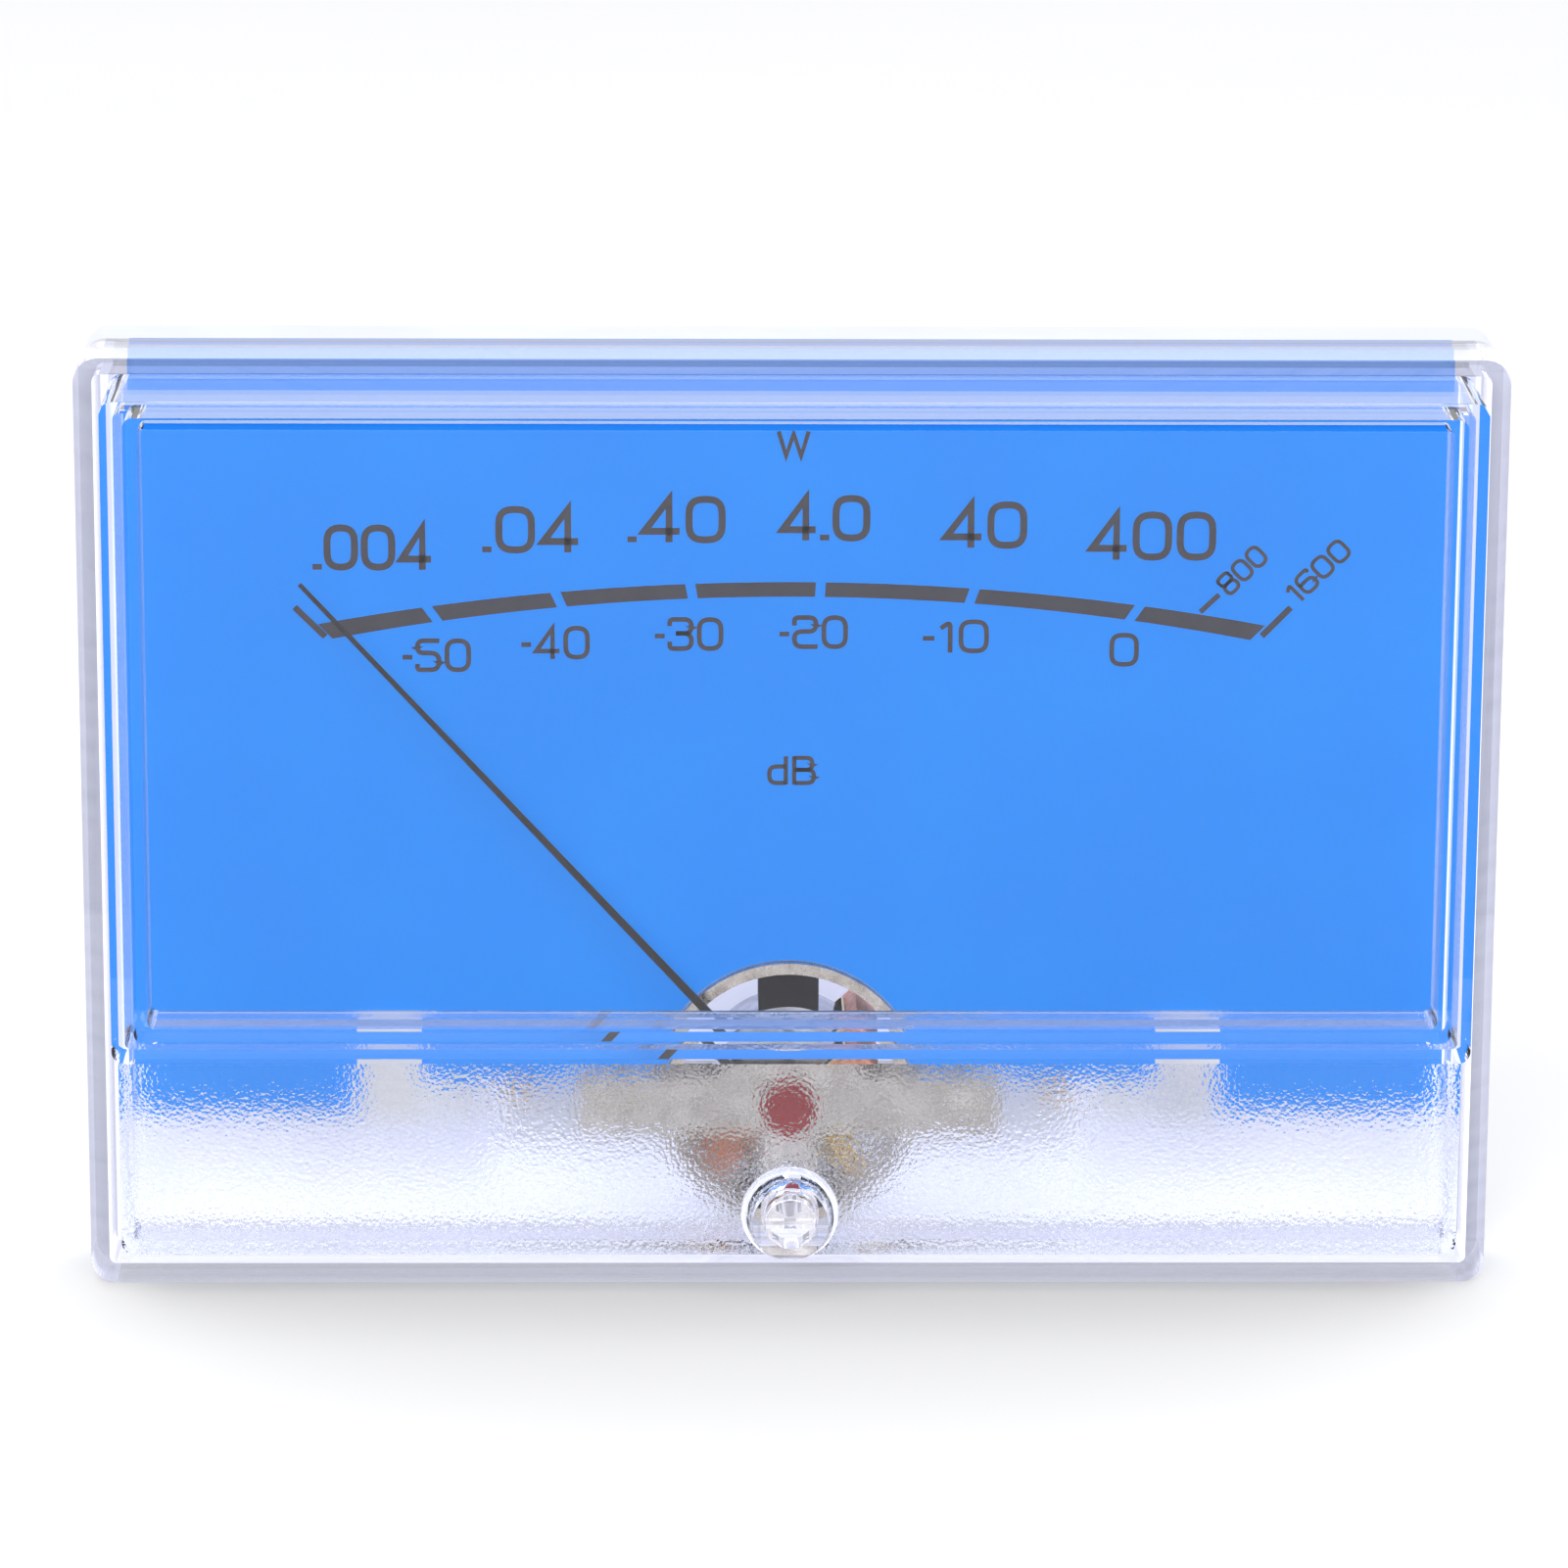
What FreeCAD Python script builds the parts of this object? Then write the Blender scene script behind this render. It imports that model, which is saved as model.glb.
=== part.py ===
import FreeCAD, Part
import math
import os
import Sketcher

# Analog panel level meter with a stepped clear cover, a lit dial and a moving coil movement.
# Millimetres. X runs to the right, Y to the back, Z up. The origin is on the housing's bottom face.
# Depths are given as distances forward of the origin, towards the viewer, so forward is -Y.

doc = FreeCAD.newDocument("LevelMeter")

SIZES = {
    # housing and clear cover
    "housing_width": 134.0,
    "housing_height": 90.5,
    "housing_corner": 2.4,
    "skirt_wall": 1.7,
    "seat_forward": 8.0,
    "joint_back": 1.5,
    "housing_back": 8.0,
    "pane": 1.2,
    "block_side_gap": 3.4,
    "block_top_gap": 1.5,
    "block_floor": 4.7,
    "block_corner": 1.2,
    "lower_step": 5.6,
    "window_step": 7.2,
    "window_floor": 25.9,
    "lens_margin": 2.6,
    "lens_top_gap": 0.25,
    "lens_floor_gap": 3.8,
    "lens_corner": 0.9,
    "lens_step": 6.0,
    # base tub
    "base_wall": 1.8,
    "lip_wall": 1.3,
    "lip_reach": 2.0,
    "fit_gap": 0.15,
    "hump_width": 62.0,
    "hump_floor": 1.4,
    "hump_top": 34.0,
    "hump_depth": 9.0,
    "pad_radius": 2.2,
    "pad_inset": 9.0,
    # zero adjuster
    "adjuster_height": 8.8,
    "boss_radius": 4.7,
    "boss_rim_radius": 3.6,
    "boss_length": 3.2,
    "adjuster_radius": 2.4,
    "running_gap": 0.08,
    "adjuster_flange": 2.75,
    "adjuster_flange_depth": 1.0,
    "adjuster_proud": 0.2,
    "adjuster_slot_width": 0.8,
    "adjuster_slot_depth": 1.2,
    "eccentric": 0.7,
    "eccentric_radius": 1.1,
    "fork_gap": 0.12,
    # dial and diffuser
    "dial_forward": -0.3,
    "dial_thickness": 0.6,
    "dial_side_gap": 4,
    "dial_top_gap": 3.4,
    "ear_floor": 15.0,
    "ear_half_inner": 42.0,
    "dial_floor": 18.2,
    "dial_opening": 14.2,
    "diffuser_thickness": 2.4,
    "diffuser_inset": 1.0,
    "arch_half": 29.5,
    "arch_top": 33.0,
    "hook_centre": 38.4,
    "hook_width": 6.2,
    "hook_floor": 14.2,
    "hook_top": 24.1,
    "hook_thickness": 0.7,
    "sheet_gap": 0.1,
    # movement
    "axis_height": 17.0,
    "ring_outer": 12.9,
    "ring_wall": 1.1,
    "ring_forward": 0.6,
    "ring_depth": 7.5,
    "core_radius": 8.3,
    "core_forward": -0.3,
    "core_depth": 6.2,
    "core_pin_radius": 1.0,
    "frame_half": 28.5,
    "frame_floor": 9.5,
    "frame_top": 24.5,
    "frame_thickness": 1.8,
    "frame_hole": 11.0,
    "frame_disc": 13.4,
    "holder_half": 2.9,
    "coil_air": 0.5,
    "coil_thickness": 1.5,
    "coil_width": 3.0,
    "former_wall": 0.25,
    "former_lip": 0.35,
    "pillar_spacing": 33.2,
    "pillar_radius": 1.9,
    "pillar_room": 0.4,
    "bridge_forward": 3.9,
    "bridge_thickness": 1.0,
    "bridge_half": 20.2,
    "bridge_half_height": 2.9,
    "bridge_lobe_half": 7.4,
    "bridge_lobe_height": 4.8,
    "bridge_chamfer": 1.6,
    "jewel_radius": 1.35,
    "jewel_head_radius": 2.5,
    "jewel_head": 1.0,
    "jewel_back": 0.5,
    "jewel_cup": 0.45,
    "pivot_radius": 0.22,
    "lever_thickness": 0.5,
    "lever_ring": 3.6,
    "lever_half": 2.7,
    "lever_floor": 5.3,
    "slot_top": 11.4,
    "hub_radius": 2.0,
    "hub_thickness": 0.5,
    "rear_bridge_back": 10.9,
    "rear_bridge_thickness": 1.0,
    "rear_bridge_half": 15.0,
    "rear_bridge_half_height": 2.8,
    "spacer_inset": 0.6,
    "screw_radius": 1.0,
    "screw_head_radius": 1.9,
    "screw_head": 0.9,
    # pointer and balance
    "pointer_angle": -42.5,
    "pointer_reach": 68.8,
    "pointer_root": 0.9,
    "pointer_tip": 0.42,
    "pointer_thickness": 0.15,
    "balance_reach": 6.2,
    "balance_arm_width": 0.5,
    "weight_radius": 0.35,
    "weight_length": 1.6,
    "tail_reach": 9.6,
    "tail_weight_radius": 0.9,
    "tail_weight_length": 4.0,
    # hairsprings
    "spring_inner": 1.3,
    "spring_pitch": 0.42,
    "spring_strip": 0.09,
    "spring_height": 0.45,
    "spring_turns": 5.0,
    "spring_post": 0.9,
    "front_spring_forward": 2.7,
    "rear_spring_back": 9.3,
    # back light
    "board_width": 104.0,
    "board_height": 7.0,
    "board_thickness": 1.0,
    "board_top_gap": 9.5,
    "lamp_width": 3.2,
    "lamp_height": 2.4,
    "lamp_thickness": 0.9,
    "lamp_pitch": 13.0,
    "lamp_count": 8.0,
    # rear terminals
    "stud_spacing": 84.0,
    "stud_height": 20.0,
    "stud_radius": 2.0,
    "stud_reach": 13.0,
    "thread_middle_radius": 1.8,
    "thread_run_out": 0.3,
    "stud_head_radius": 3.2,
    "stud_head": 1.4,
    "washer_radius": 4.2,
    "washer_thickness": 0.8,
    "tag_thickness": 0.5,
    "tag_width": 5.0,
    "tag_length": 13.0,
    "nut_flats": 7.0,
    "nut_thickness": 3.0,
    "lamp_pin_width": 1.0,
    "lamp_pin_spacing": 5.0,
    "lamp_pin_reach": 7.0,
}

sheet = doc.addObject("Spreadsheet::Sheet", "Sizes")
for row, (alias, number) in enumerate(SIZES.items(), start=1):
    sheet.set(f"A{row}", alias)
    sheet.set(f"B{row}", str(number))
    sheet.setAlias(f"B{row}", alias)
doc.recompute()


class Size:
    """A number together with the sheet expression that it comes from."""

    def __init__(self, text, number):
        self.text = text
        self.number = number

    def __add__(self, other):
        other = as_size(other)
        return Size(f"({self.text} + {other.text})", self.number + other.number)

    def __radd__(self, other):
        return as_size(other) + self

    def __sub__(self, other):
        other = as_size(other)
        return Size(f"({self.text} - {other.text})", self.number - other.number)

    def __rsub__(self, other):
        return as_size(other) - self

    def __mul__(self, other):
        other = as_size(other)
        return Size(f"({self.text} * {other.text})", self.number * other.number)

    def __rmul__(self, other):
        return as_size(other) * self

    def __truediv__(self, other):
        other = as_size(other)
        return Size(f"({self.text} / {other.text})", self.number / other.number)

    def __neg__(self):
        return Size(f"(-1 * {self.text})", -self.number)


def as_size(value):
    return value if isinstance(value, Size) else Size(f"({float(value)})", float(value))


class Sheet:
    """The sheet's sizes by name, each as a Size."""

    def __getattr__(self, name):
        return Size(f"Sizes.{name}", float(getattr(sheet, name)))


s = Sheet()
pieces = {}


def bind(thing, place, value):
    thing.setExpression(place, as_size(value).text)


def keep(thing, label):
    """Label a finished sub-part, so that it is written to a file of that name."""
    thing.Label = label
    pieces[label] = thing
    return thing


def put(thing, x, forward, z, turn=0, about=(0, 1, 0)):
    """Place a piece: x to the right, forward of the origin, z up, turned about one axis by degrees."""
    x, y, z, turn = as_size(x), -as_size(forward), as_size(z), as_size(turn)
    move = f"create(<<vector>>; {x.text}; {y.text}; {z.text})"
    axis = f"create(<<vector>>; {about[0]}; {about[1]}; {about[2]})"
    thing.setExpression("Placement", f"create(<<placement>>; {move}; create(<<rotation>>; {axis}; {turn.text}))")
    return thing


def new_body(label):
    return keep(doc.addObject("PartDesign::Body", label), label)


def sketch_on(body, name, role, offset):
    """A sketch parallel to one of the body's own origin planes; offset runs along the plane's normal."""
    sketch = body.newObject("Sketcher::SketchObject", name)
    plane = next(f for f in body.Origin.OriginFeatures if f.Role == role)
    sketch.AttachmentSupport = (plane, [""])
    sketch.MapMode = "FlatFace"
    bind(sketch, "AttachmentOffset.Base.z", offset)
    return sketch


def fix_point(sketch, geometry, end, x, z):
    """Hold one point of the sketch at bound distances from its origin."""
    for kind, value in (("DistanceX", x), ("DistanceY", z)):
        number = sketch.addConstraint(Sketcher.Constraint(kind, -1, 1, geometry, end, value.number))
        bind(sketch, f"Constraints[{number}]", value)


def draw_outline(sketch, points, radius=None):
    """A closed outline of straight sides. With a radius, every corner is square and rounded by it."""
    points = [(as_size(x), as_size(z)) for x, z in points]
    ends = []
    for index, (x, z) in enumerate(points):
        back = points[index - 1]
        ahead = points[(index + 1) % len(points)]
        if radius is None:
            ends.append(((x, z), (x, z)))
            continue
        radius = as_size(radius)
        ends.append((step_towards((x, z), back, radius), step_towards((x, z), ahead, radius)))
    lines = []
    for index in range(len(points)):
        start = ends[index][1]
        stop = ends[(index + 1) % len(points)][0]
        lines.append(sketch.addGeometry(Part.LineSegment(flat(start), flat(stop)), False))
        fix_point(sketch, lines[-1], 1, *start)
        if radius is not None:
            fix_point(sketch, lines[-1], 2, *stop)
    for index in range(len(points)):
        last = lines[index - 1]
        first = lines[index]
        if radius is None:
            sketch.addConstraint(Sketcher.Constraint("Coincident", last, 2, first, 1))
            continue
        join_with_arc(sketch, last, first, ends[index], points[index], radius)


def join_with_arc(sketch, last, first, ends, corner, radius):
    """A quarter circle from the end of one side to the start of the next."""
    start, stop = flat(ends[0]), flat(ends[1])
    vertex = flat(corner)
    centre = start + stop - vertex
    middle = centre + (vertex - centre).normalize() * radius.number
    arc = sketch.addGeometry(Part.Arc(start, middle, stop), False)
    drawn = sketch.Geometry[arc]
    forwards = drawn.StartPoint.distanceToPoint(start) < drawn.EndPoint.distanceToPoint(start)
    near, far = (1, 2) if forwards else (2, 1)
    sketch.addConstraint(Sketcher.Constraint("Coincident", last, 2, arc, near))
    sketch.addConstraint(Sketcher.Constraint("Coincident", first, 1, arc, far))
    number = sketch.addConstraint(Sketcher.Constraint("Radius", arc, radius.number))
    bind(sketch, f"Constraints[{number}]", radius)


def flat(point):
    return FreeCAD.Vector(point[0].number, point[1].number, 0)


def step_towards(corner, other, distance):
    """The point at a distance from a corner along the square side that leads to another corner."""
    x, z = corner
    if abs(other[0].number - x.number) > abs(other[1].number - z.number):
        return (x + distance if other[0].number > x.number else x - distance), z
    return x, (z + distance if other[1].number > z.number else z - distance)


def draw_circle(sketch, x, z, radius):
    x, z, radius = as_size(x), as_size(z), as_size(radius)
    centre = FreeCAD.Vector(x.number, z.number, 0)
    circle = sketch.addGeometry(Part.Circle(centre, FreeCAD.Vector(0, 0, 1), radius.number), False)
    fix_point(sketch, circle, 3, x, z)
    number = sketch.addConstraint(Sketcher.Constraint("Radius", circle, radius.number))
    bind(sketch, f"Constraints[{number}]", radius)


def square_corners(left, right, floor, top):
    return [(left, floor), (right, floor), (right, top), (left, top)]


def pad(body, name, back, depth, draw, taper=None):
    """Add a plate or block that lies between two depths; draw puts the outlines in its sketch."""
    sketch = sketch_on(body, name + "Sketch", "XZ_Plane", back)
    draw(sketch)
    feature = body.newObject("PartDesign::Pad", name)
    feature.Profile = sketch
    bind(feature, "Length", depth)
    if taper is not None:
        bind(feature, "TaperAngle", taper)
    sketch.Visibility = False
    return feature


def pocket(body, name, front, depth, draw):
    """Cut backwards from a depth by a length."""
    sketch = sketch_on(body, name + "Sketch", "XZ_Plane", front)
    draw(sketch)
    feature = body.newObject("PartDesign::Pocket", name)
    feature.Profile = sketch
    bind(feature, "Length", depth)
    sketch.Visibility = False
    return feature


def rod(name, radius, length, x, z, back):
    """A round rod along the depth, from one depth forwards."""
    piece = doc.addObject("Part::Cylinder", name)
    bind(piece, "Radius", radius)
    bind(piece, "Height", length)
    return put(piece, x, back, z, 90, (1, 0, 0))


def block(name, left, width, back, depth, floor, height):
    """A box given by its left side, its back and its floor."""
    piece = doc.addObject("Part::Box", name)
    bind(piece, "Length", width)
    bind(piece, "Width", depth)
    bind(piece, "Height", height)
    return put(piece, left, as_size(back) + depth, floor)


def fuse(name, *parts):
    piece = doc.addObject("Part::MultiFuse", name)
    piece.Shapes = list(parts)
    return piece


def cut(name, base, tool):
    piece = doc.addObject("Part::Cut", name)
    piece.Base = base
    piece.Tool = tool
    return piece


def group(name, *parts):
    """Separate solids of one kind that share a file."""
    piece = doc.addObject("Part::Compound", name)
    piece.Links = list(parts)
    return piece


# Places worked out from the sizes
housing_half = s.housing_width / 2
dial_half = s.housing_width / 2 - s.dial_side_gap
board_floor = s.housing_height - s.board_top_gap - s.board_height
block_half = s.housing_width / 2 - s.block_side_gap
block_top = s.housing_height - s.block_top_gap
lower_front = s.seat_forward + s.lower_step
block_front = lower_front + s.window_step
lens_front = block_front + s.lens_step
lens_half = block_half - s.lens_margin
lens_top = block_top - s.lens_top_gap
lens_floor = s.window_floor + s.lens_floor_gap
floor_back = s.housing_back - s.base_wall
dial_back = s.dial_forward - s.dial_thickness
diffuser_back = dial_back - s.diffuser_thickness


def front_cover():
    """Clear moulded cover: skirt, block behind the frosted band, window block and raised lens, all hollow."""
    body = new_body("front_cover")

    def skirt(sketch):
        draw_outline(sketch, square_corners(-housing_half, housing_half, 0, s.housing_height), s.housing_corner)

    def lower(sketch):
        draw_outline(sketch, square_corners(-block_half, block_half, s.block_floor, block_top), s.block_corner)

    def window(sketch):
        draw_outline(sketch, square_corners(-block_half, block_half, s.window_floor, block_top), s.block_corner)

    def lens(sketch):
        draw_outline(sketch, square_corners(-lens_half, lens_half, lens_floor, lens_top), s.lens_corner)

    def boss(sketch):
        draw_circle(sketch, 0, s.adjuster_height, s.boss_radius)

    def boss_bore(sketch):
        draw_circle(sketch, 0, s.adjuster_height, s.adjuster_radius + s.running_gap)

    def hollow(left_right, floor, top, corner):
        def draw(sketch):
            draw_outline(sketch, square_corners(-left_right, left_right, floor, top), corner)
        return draw

    narrowing = s.boss_radius - s.boss_rim_radius
    taper = Size(
        f"(-1 * atan({(narrowing / s.boss_length).text}))",
        -math.degrees(math.atan((narrowing / s.boss_length).number)),
    )
    pad(body, "Skirt", -s.joint_back, s.seat_forward + s.joint_back, skirt)
    pad(body, "Lower", s.seat_forward, s.lower_step, lower)
    pad(body, "Window", lower_front, s.window_step, window)
    pad(body, "Lens", block_front, s.lens_step, lens)
    pad(body, "Boss", lower_front, s.boss_length, boss, taper)
    wall = s.skirt_wall
    inner = s.housing_corner - wall
    seat = s.seat_forward - s.pane
    pocket(body, "SkirtHollow", seat, seat + s.joint_back,
           hollow(housing_half - wall, wall, s.housing_height - wall, inner))
    pane = s.pane
    small = s.block_corner - pane / 2
    pocket(body, "LowerHollow", lower_front - pane, lower_front - pane - seat,
           hollow(block_half - pane, s.block_floor + pane, block_top - pane, small))
    pocket(body, "WindowHollow", block_front - pane, s.window_step,
           hollow(block_half - pane, s.window_floor + pane, block_top - pane, small))
    pocket(body, "LensHollow", lens_front - pane, s.lens_step,
           hollow(lens_half - pane, lens_floor + pane, lens_top - pane, small))
    pocket(body, "BossBore", lower_front + s.boss_length, s.boss_length + 2 * pane, boss_bore)
    return body


def rear_base():
    """White tub behind the dial, with a lip inside the cover's skirt and a deeper hump round the movement."""
    body = new_body("rear_base")
    inner_half = housing_half - s.base_wall
    lip_half = housing_half - s.skirt_wall - s.fit_gap
    lip_floor = s.skirt_wall + s.fit_gap
    lip_corner = s.housing_corner - s.skirt_wall
    hump_half = s.hump_width / 2

    def tub(sketch):
        draw_outline(sketch, square_corners(-housing_half, housing_half, 0, s.housing_height), s.housing_corner)

    def lip(sketch):
        draw_outline(sketch, square_corners(-lip_half, lip_half, lip_floor, s.housing_height - lip_floor), lip_corner)

    def hollow(sketch):
        half = lip_half - s.lip_wall
        low = lip_floor + s.lip_wall
        draw_outline(sketch, square_corners(-half, half, low, s.housing_height - low), lip_corner)

    def hump(sketch):
        draw_outline(sketch, square_corners(-hump_half, hump_half, s.hump_floor, s.hump_top), s.housing_corner)

    def hump_hollow(sketch):
        half = hump_half - s.base_wall
        low, high = s.hump_floor + s.base_wall, s.hump_top - s.base_wall
        draw_outline(sketch, square_corners(-half, half, low, high), s.housing_corner - s.base_wall)

    def pads(sketch):
        for side in (-1, 1):
            for height in (s.hump_top + s.pad_inset, s.housing_height - s.pad_inset):
                draw_circle(sketch, side * (inner_half - s.pad_inset), height, s.pad_radius)

    def stud_holes(sketch):
        for side in (-1, 1):
            draw_circle(sketch, side * s.stud_spacing / 2, s.stud_height, s.stud_radius + s.running_gap)

    def pin_slots(sketch):
        for side in (-1, 1):
            middle = side * s.lamp_pin_spacing / 2
            reach = s.lamp_pin_width / 2 + s.running_gap
            height = lamp_pin_height()
            draw_outline(sketch, square_corners(middle - reach, middle + reach, height - reach, height + reach))

    pad(body, "Tub", -s.housing_back, s.housing_back - s.joint_back, tub)
    pad(body, "Lip", -s.joint_back, s.lip_reach, lip)
    pad(body, "Hump", -s.housing_back - s.hump_depth, s.hump_depth, hump)
    pocket(body, "TubHollow", s.lip_reach - s.joint_back, s.lip_reach - s.joint_back + floor_back, hollow)
    pocket(body, "HumpHollow", -floor_back, s.hump_depth, hump_hollow)
    pad(body, "Pads", -floor_back, floor_back + diffuser_back, pads)
    pocket(body, "StudHoles", -floor_back, s.base_wall, stud_holes)
    pocket(body, "PinSlots", -floor_back, s.base_wall, pin_slots)
    return body


def lamp_pin_height():
    return board_floor + s.board_height / 2


def dial_plate():
    """Thin dial with two lower ears beside the movement and a round opening for the movement ring."""
    body = new_body("dial_plate")
    half = dial_half
    top = s.housing_height - s.dial_top_gap

    def face(sketch):
        draw_outline(sketch, [
            (-half, s.ear_floor), (-s.ear_half_inner, s.ear_floor), (-s.ear_half_inner, s.dial_floor),
            (s.ear_half_inner, s.dial_floor), (s.ear_half_inner, s.ear_floor), (half, s.ear_floor),
            (half, top), (-half, top),
        ])

    def opening(sketch):
        draw_circle(sketch, 0, s.axis_height, s.dial_opening)

    def pillar_notch(sketch):
        reach = s.pillar_spacing / 2 + s.pillar_radius + s.pillar_room
        draw_outline(sketch, square_corners(-reach, reach, s.ear_floor, s.axis_height + s.pillar_radius + s.pillar_room))

    pad(body, "Face", dial_back, s.dial_thickness, face)
    pocket(body, "Opening", s.dial_forward, s.dial_thickness, opening)
    pocket(body, "PillarNotch", s.dial_forward, s.dial_thickness, pillar_notch)
    return body


def light_diffuser():
    """White plate behind the dial, with an arch over the movement and two hooks that hold the dial's lower edge."""
    body = new_body("light_diffuser")
    half = dial_half - s.diffuser_inset
    top = s.housing_height - s.dial_top_gap - s.diffuser_inset
    hook_half = s.hook_width / 2

    def plate(sketch):
        draw_outline(sketch, [
            (-half, s.hook_floor), (-s.arch_half, s.hook_floor), (-s.arch_half, s.arch_top),
            (s.arch_half, s.arch_top), (s.arch_half, s.hook_floor), (half, s.hook_floor),
            (half, top), (-half, top),
        ])

    def hooks(top_height):
        def draw(sketch):
            for side in (-1, 1):
                centre = side * s.hook_centre
                draw_outline(sketch, square_corners(centre - hook_half, centre + hook_half, s.hook_floor, top_height))
        return draw

    hook_gap = s.sheet_gap
    pad(body, "Plate", diffuser_back, s.diffuser_thickness, plate)
    pad(body, "HookRoots", dial_back, s.dial_thickness + hook_gap, hooks(s.dial_floor - hook_gap))
    pad(body, "HookTabs", s.dial_forward + hook_gap, s.hook_thickness, hooks(s.hook_top))
    return body


def back_light():
    """Lamp board on the tub's floor with a row of lamps and two supply pins through the back."""
    left = -s.board_width / 2
    board = block("Board", left, s.board_width, -floor_back, s.board_thickness, board_floor, s.board_height)
    keep(board, "lamp_board")
    lamps = []
    first = -(s.lamp_count - 1) / 2 * s.lamp_pitch
    for index in range(int(s.lamp_count.number)):
        centre = first + index * s.lamp_pitch
        floor = lamp_pin_height() - s.lamp_height / 2
        lamps.append(block(f"Lamp{index}", centre - s.lamp_width / 2, s.lamp_width,
                           s.board_thickness - floor_back, s.lamp_thickness, floor, s.lamp_height))
    keep(group("Lamps", *lamps), "lamps")
    pins = []
    for side in (-1, 1):
        middle = side * s.lamp_pin_spacing / 2
        width = s.lamp_pin_width
        pins.append(block(f"LampPin{side + 1}", middle - width / 2, width, -floor_back - s.lamp_pin_reach,
                          s.lamp_pin_reach, lamp_pin_height() - width / 2, width))
    keep(group("LampPins", *pins), "lamp_pins")


def movement_frame():
    """Plate behind the ring, with two blocks that reach forward between the ring and the core."""
    strap = block("FrameStrap", -s.frame_half, 2 * s.frame_half, frame_back, s.frame_thickness,
                  s.frame_floor, s.frame_top - s.frame_floor)
    disc = rod("FrameDisc", s.frame_disc, s.frame_thickness, 0, s.axis_height, frame_back)
    holes = [rod("FrameHole", s.frame_hole, s.frame_thickness, 0, s.axis_height, frame_back)]
    for side in (-1, 1):
        holes.append(rod(f"FrameScrewHole{side + 1}", s.screw_radius, s.frame_thickness,
                         side * frame_screw_reach, s.axis_height, frame_back))
    sleeve = rod("HolderOuter", ring_inner - s.sheet_gap, holder_length, 0, s.axis_height, ring_back)
    inside = rod("HolderInner", s.core_radius, holder_length, 0, s.axis_height, ring_back)
    strip = block("HolderStrip", -s.holder_half, 2 * s.holder_half, ring_back, holder_length,
                  s.axis_height - s.ring_outer, 2 * s.ring_outer)
    blocks = doc.addObject("Part::Common", "HolderBlocks")
    blocks.Base = cut("HolderSleeve", sleeve, inside)
    blocks.Tool = strip
    plate = cut("FramePlate", fuse("FrameSolid", strap, disc), fuse("FrameHoles", *holes))
    keep(fuse("movement_frame", plate, blocks), "movement_frame")


def magnet_circuit():
    """Soft iron ring and the round magnet core inside it."""
    outside = rod("RingOuter", s.ring_outer, s.ring_depth, 0, s.axis_height, ring_back)
    inside = rod("RingInner", ring_inner, s.ring_depth, 0, s.axis_height, ring_back)
    keep(cut("yoke_ring", outside, inside), "yoke_ring")
    core_back = s.core_forward - s.core_depth
    core = rod("Core", s.core_radius, s.core_depth, 0, s.axis_height, core_back)
    bore = rod("CoreBore", s.core_pin_radius, s.core_depth, 0, s.axis_height, core_back)
    keep(cut("core_magnet", core, bore), "core_magnet")


def bridge_outline(half, half_height, lobe_half, lobe_height, chamfer):
    """A long strip with a raised middle."""
    return [
        (-half, -half_height), (half, -half_height), (half, half_height),
        (lobe_half, half_height), (lobe_half - chamfer, lobe_height),
        (-lobe_half + chamfer, lobe_height), (-lobe_half, half_height), (-half, half_height),
    ]


def front_bridge():
    """Nickel strip across the front of the movement that carries the front jewel screw."""
    body = new_body("front_bridge")
    outline = bridge_outline(s.bridge_half, s.bridge_half_height, s.bridge_lobe_half,
                             s.bridge_lobe_height, s.bridge_chamfer)

    def strip(sketch):
        draw_outline(sketch, outline)
        draw_circle(sketch, 0, 0, s.jewel_radius)
        for side in (-1, 1):
            draw_circle(sketch, side * s.pillar_spacing / 2, 0, s.screw_radius)

    pad(body, "Strip", s.bridge_forward, s.bridge_thickness, strip)
    put(body, 0, 0, s.axis_height)


def rear_bridge():
    """Strip behind the movement that carries the rear jewel screw, on two spacers."""
    body = new_body("rear_bridge")

    def strip(sketch):
        half, high = s.rear_bridge_half, s.rear_bridge_half_height
        draw_outline(sketch, square_corners(-half, half, -high, high), s.block_corner)
        draw_circle(sketch, 0, 0, s.jewel_radius)

    def spacers(sketch):
        for side in (-1, 1):
            draw_circle(sketch, side * (s.rear_bridge_half - s.pillar_radius - s.spacer_inset), 0, s.pillar_radius)

    def spring_post(sketch):
        near = spring_end + s.spring_strip
        draw_outline(sketch, square_corners(near, near + s.spring_post, -s.spring_post / 2, s.spring_post / 2))

    pad(body, "Strip", -s.rear_bridge_back, s.rear_bridge_thickness, strip)
    pad(body, "SpringPost", s.rear_bridge_thickness - s.rear_bridge_back,
        s.rear_bridge_back - s.rear_bridge_thickness - s.rear_spring_back + s.spring_height, spring_post)
    pad(body, "Spacers", s.rear_bridge_thickness - s.rear_bridge_back, rear_gap, spacers)
    put(body, 0, 0, s.axis_height)


def jewel_screw(label, back, length, head_back, cup_back):
    """A threaded bearing screw with a round head and a cup that holds the pivot's end."""
    stem = rod(label + "Stem", s.jewel_radius - s.running_gap, length, 0, s.axis_height, back)
    head = rod(label + "Head", s.jewel_head_radius, s.jewel_head, 0, s.axis_height, head_back)
    cup = rod(label + "Cup", s.pivot_radius + s.running_gap, s.jewel_cup, 0, s.axis_height, cup_back)
    keep(cut(label, fuse(label + "Solid", stem, head), cup), label)


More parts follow.
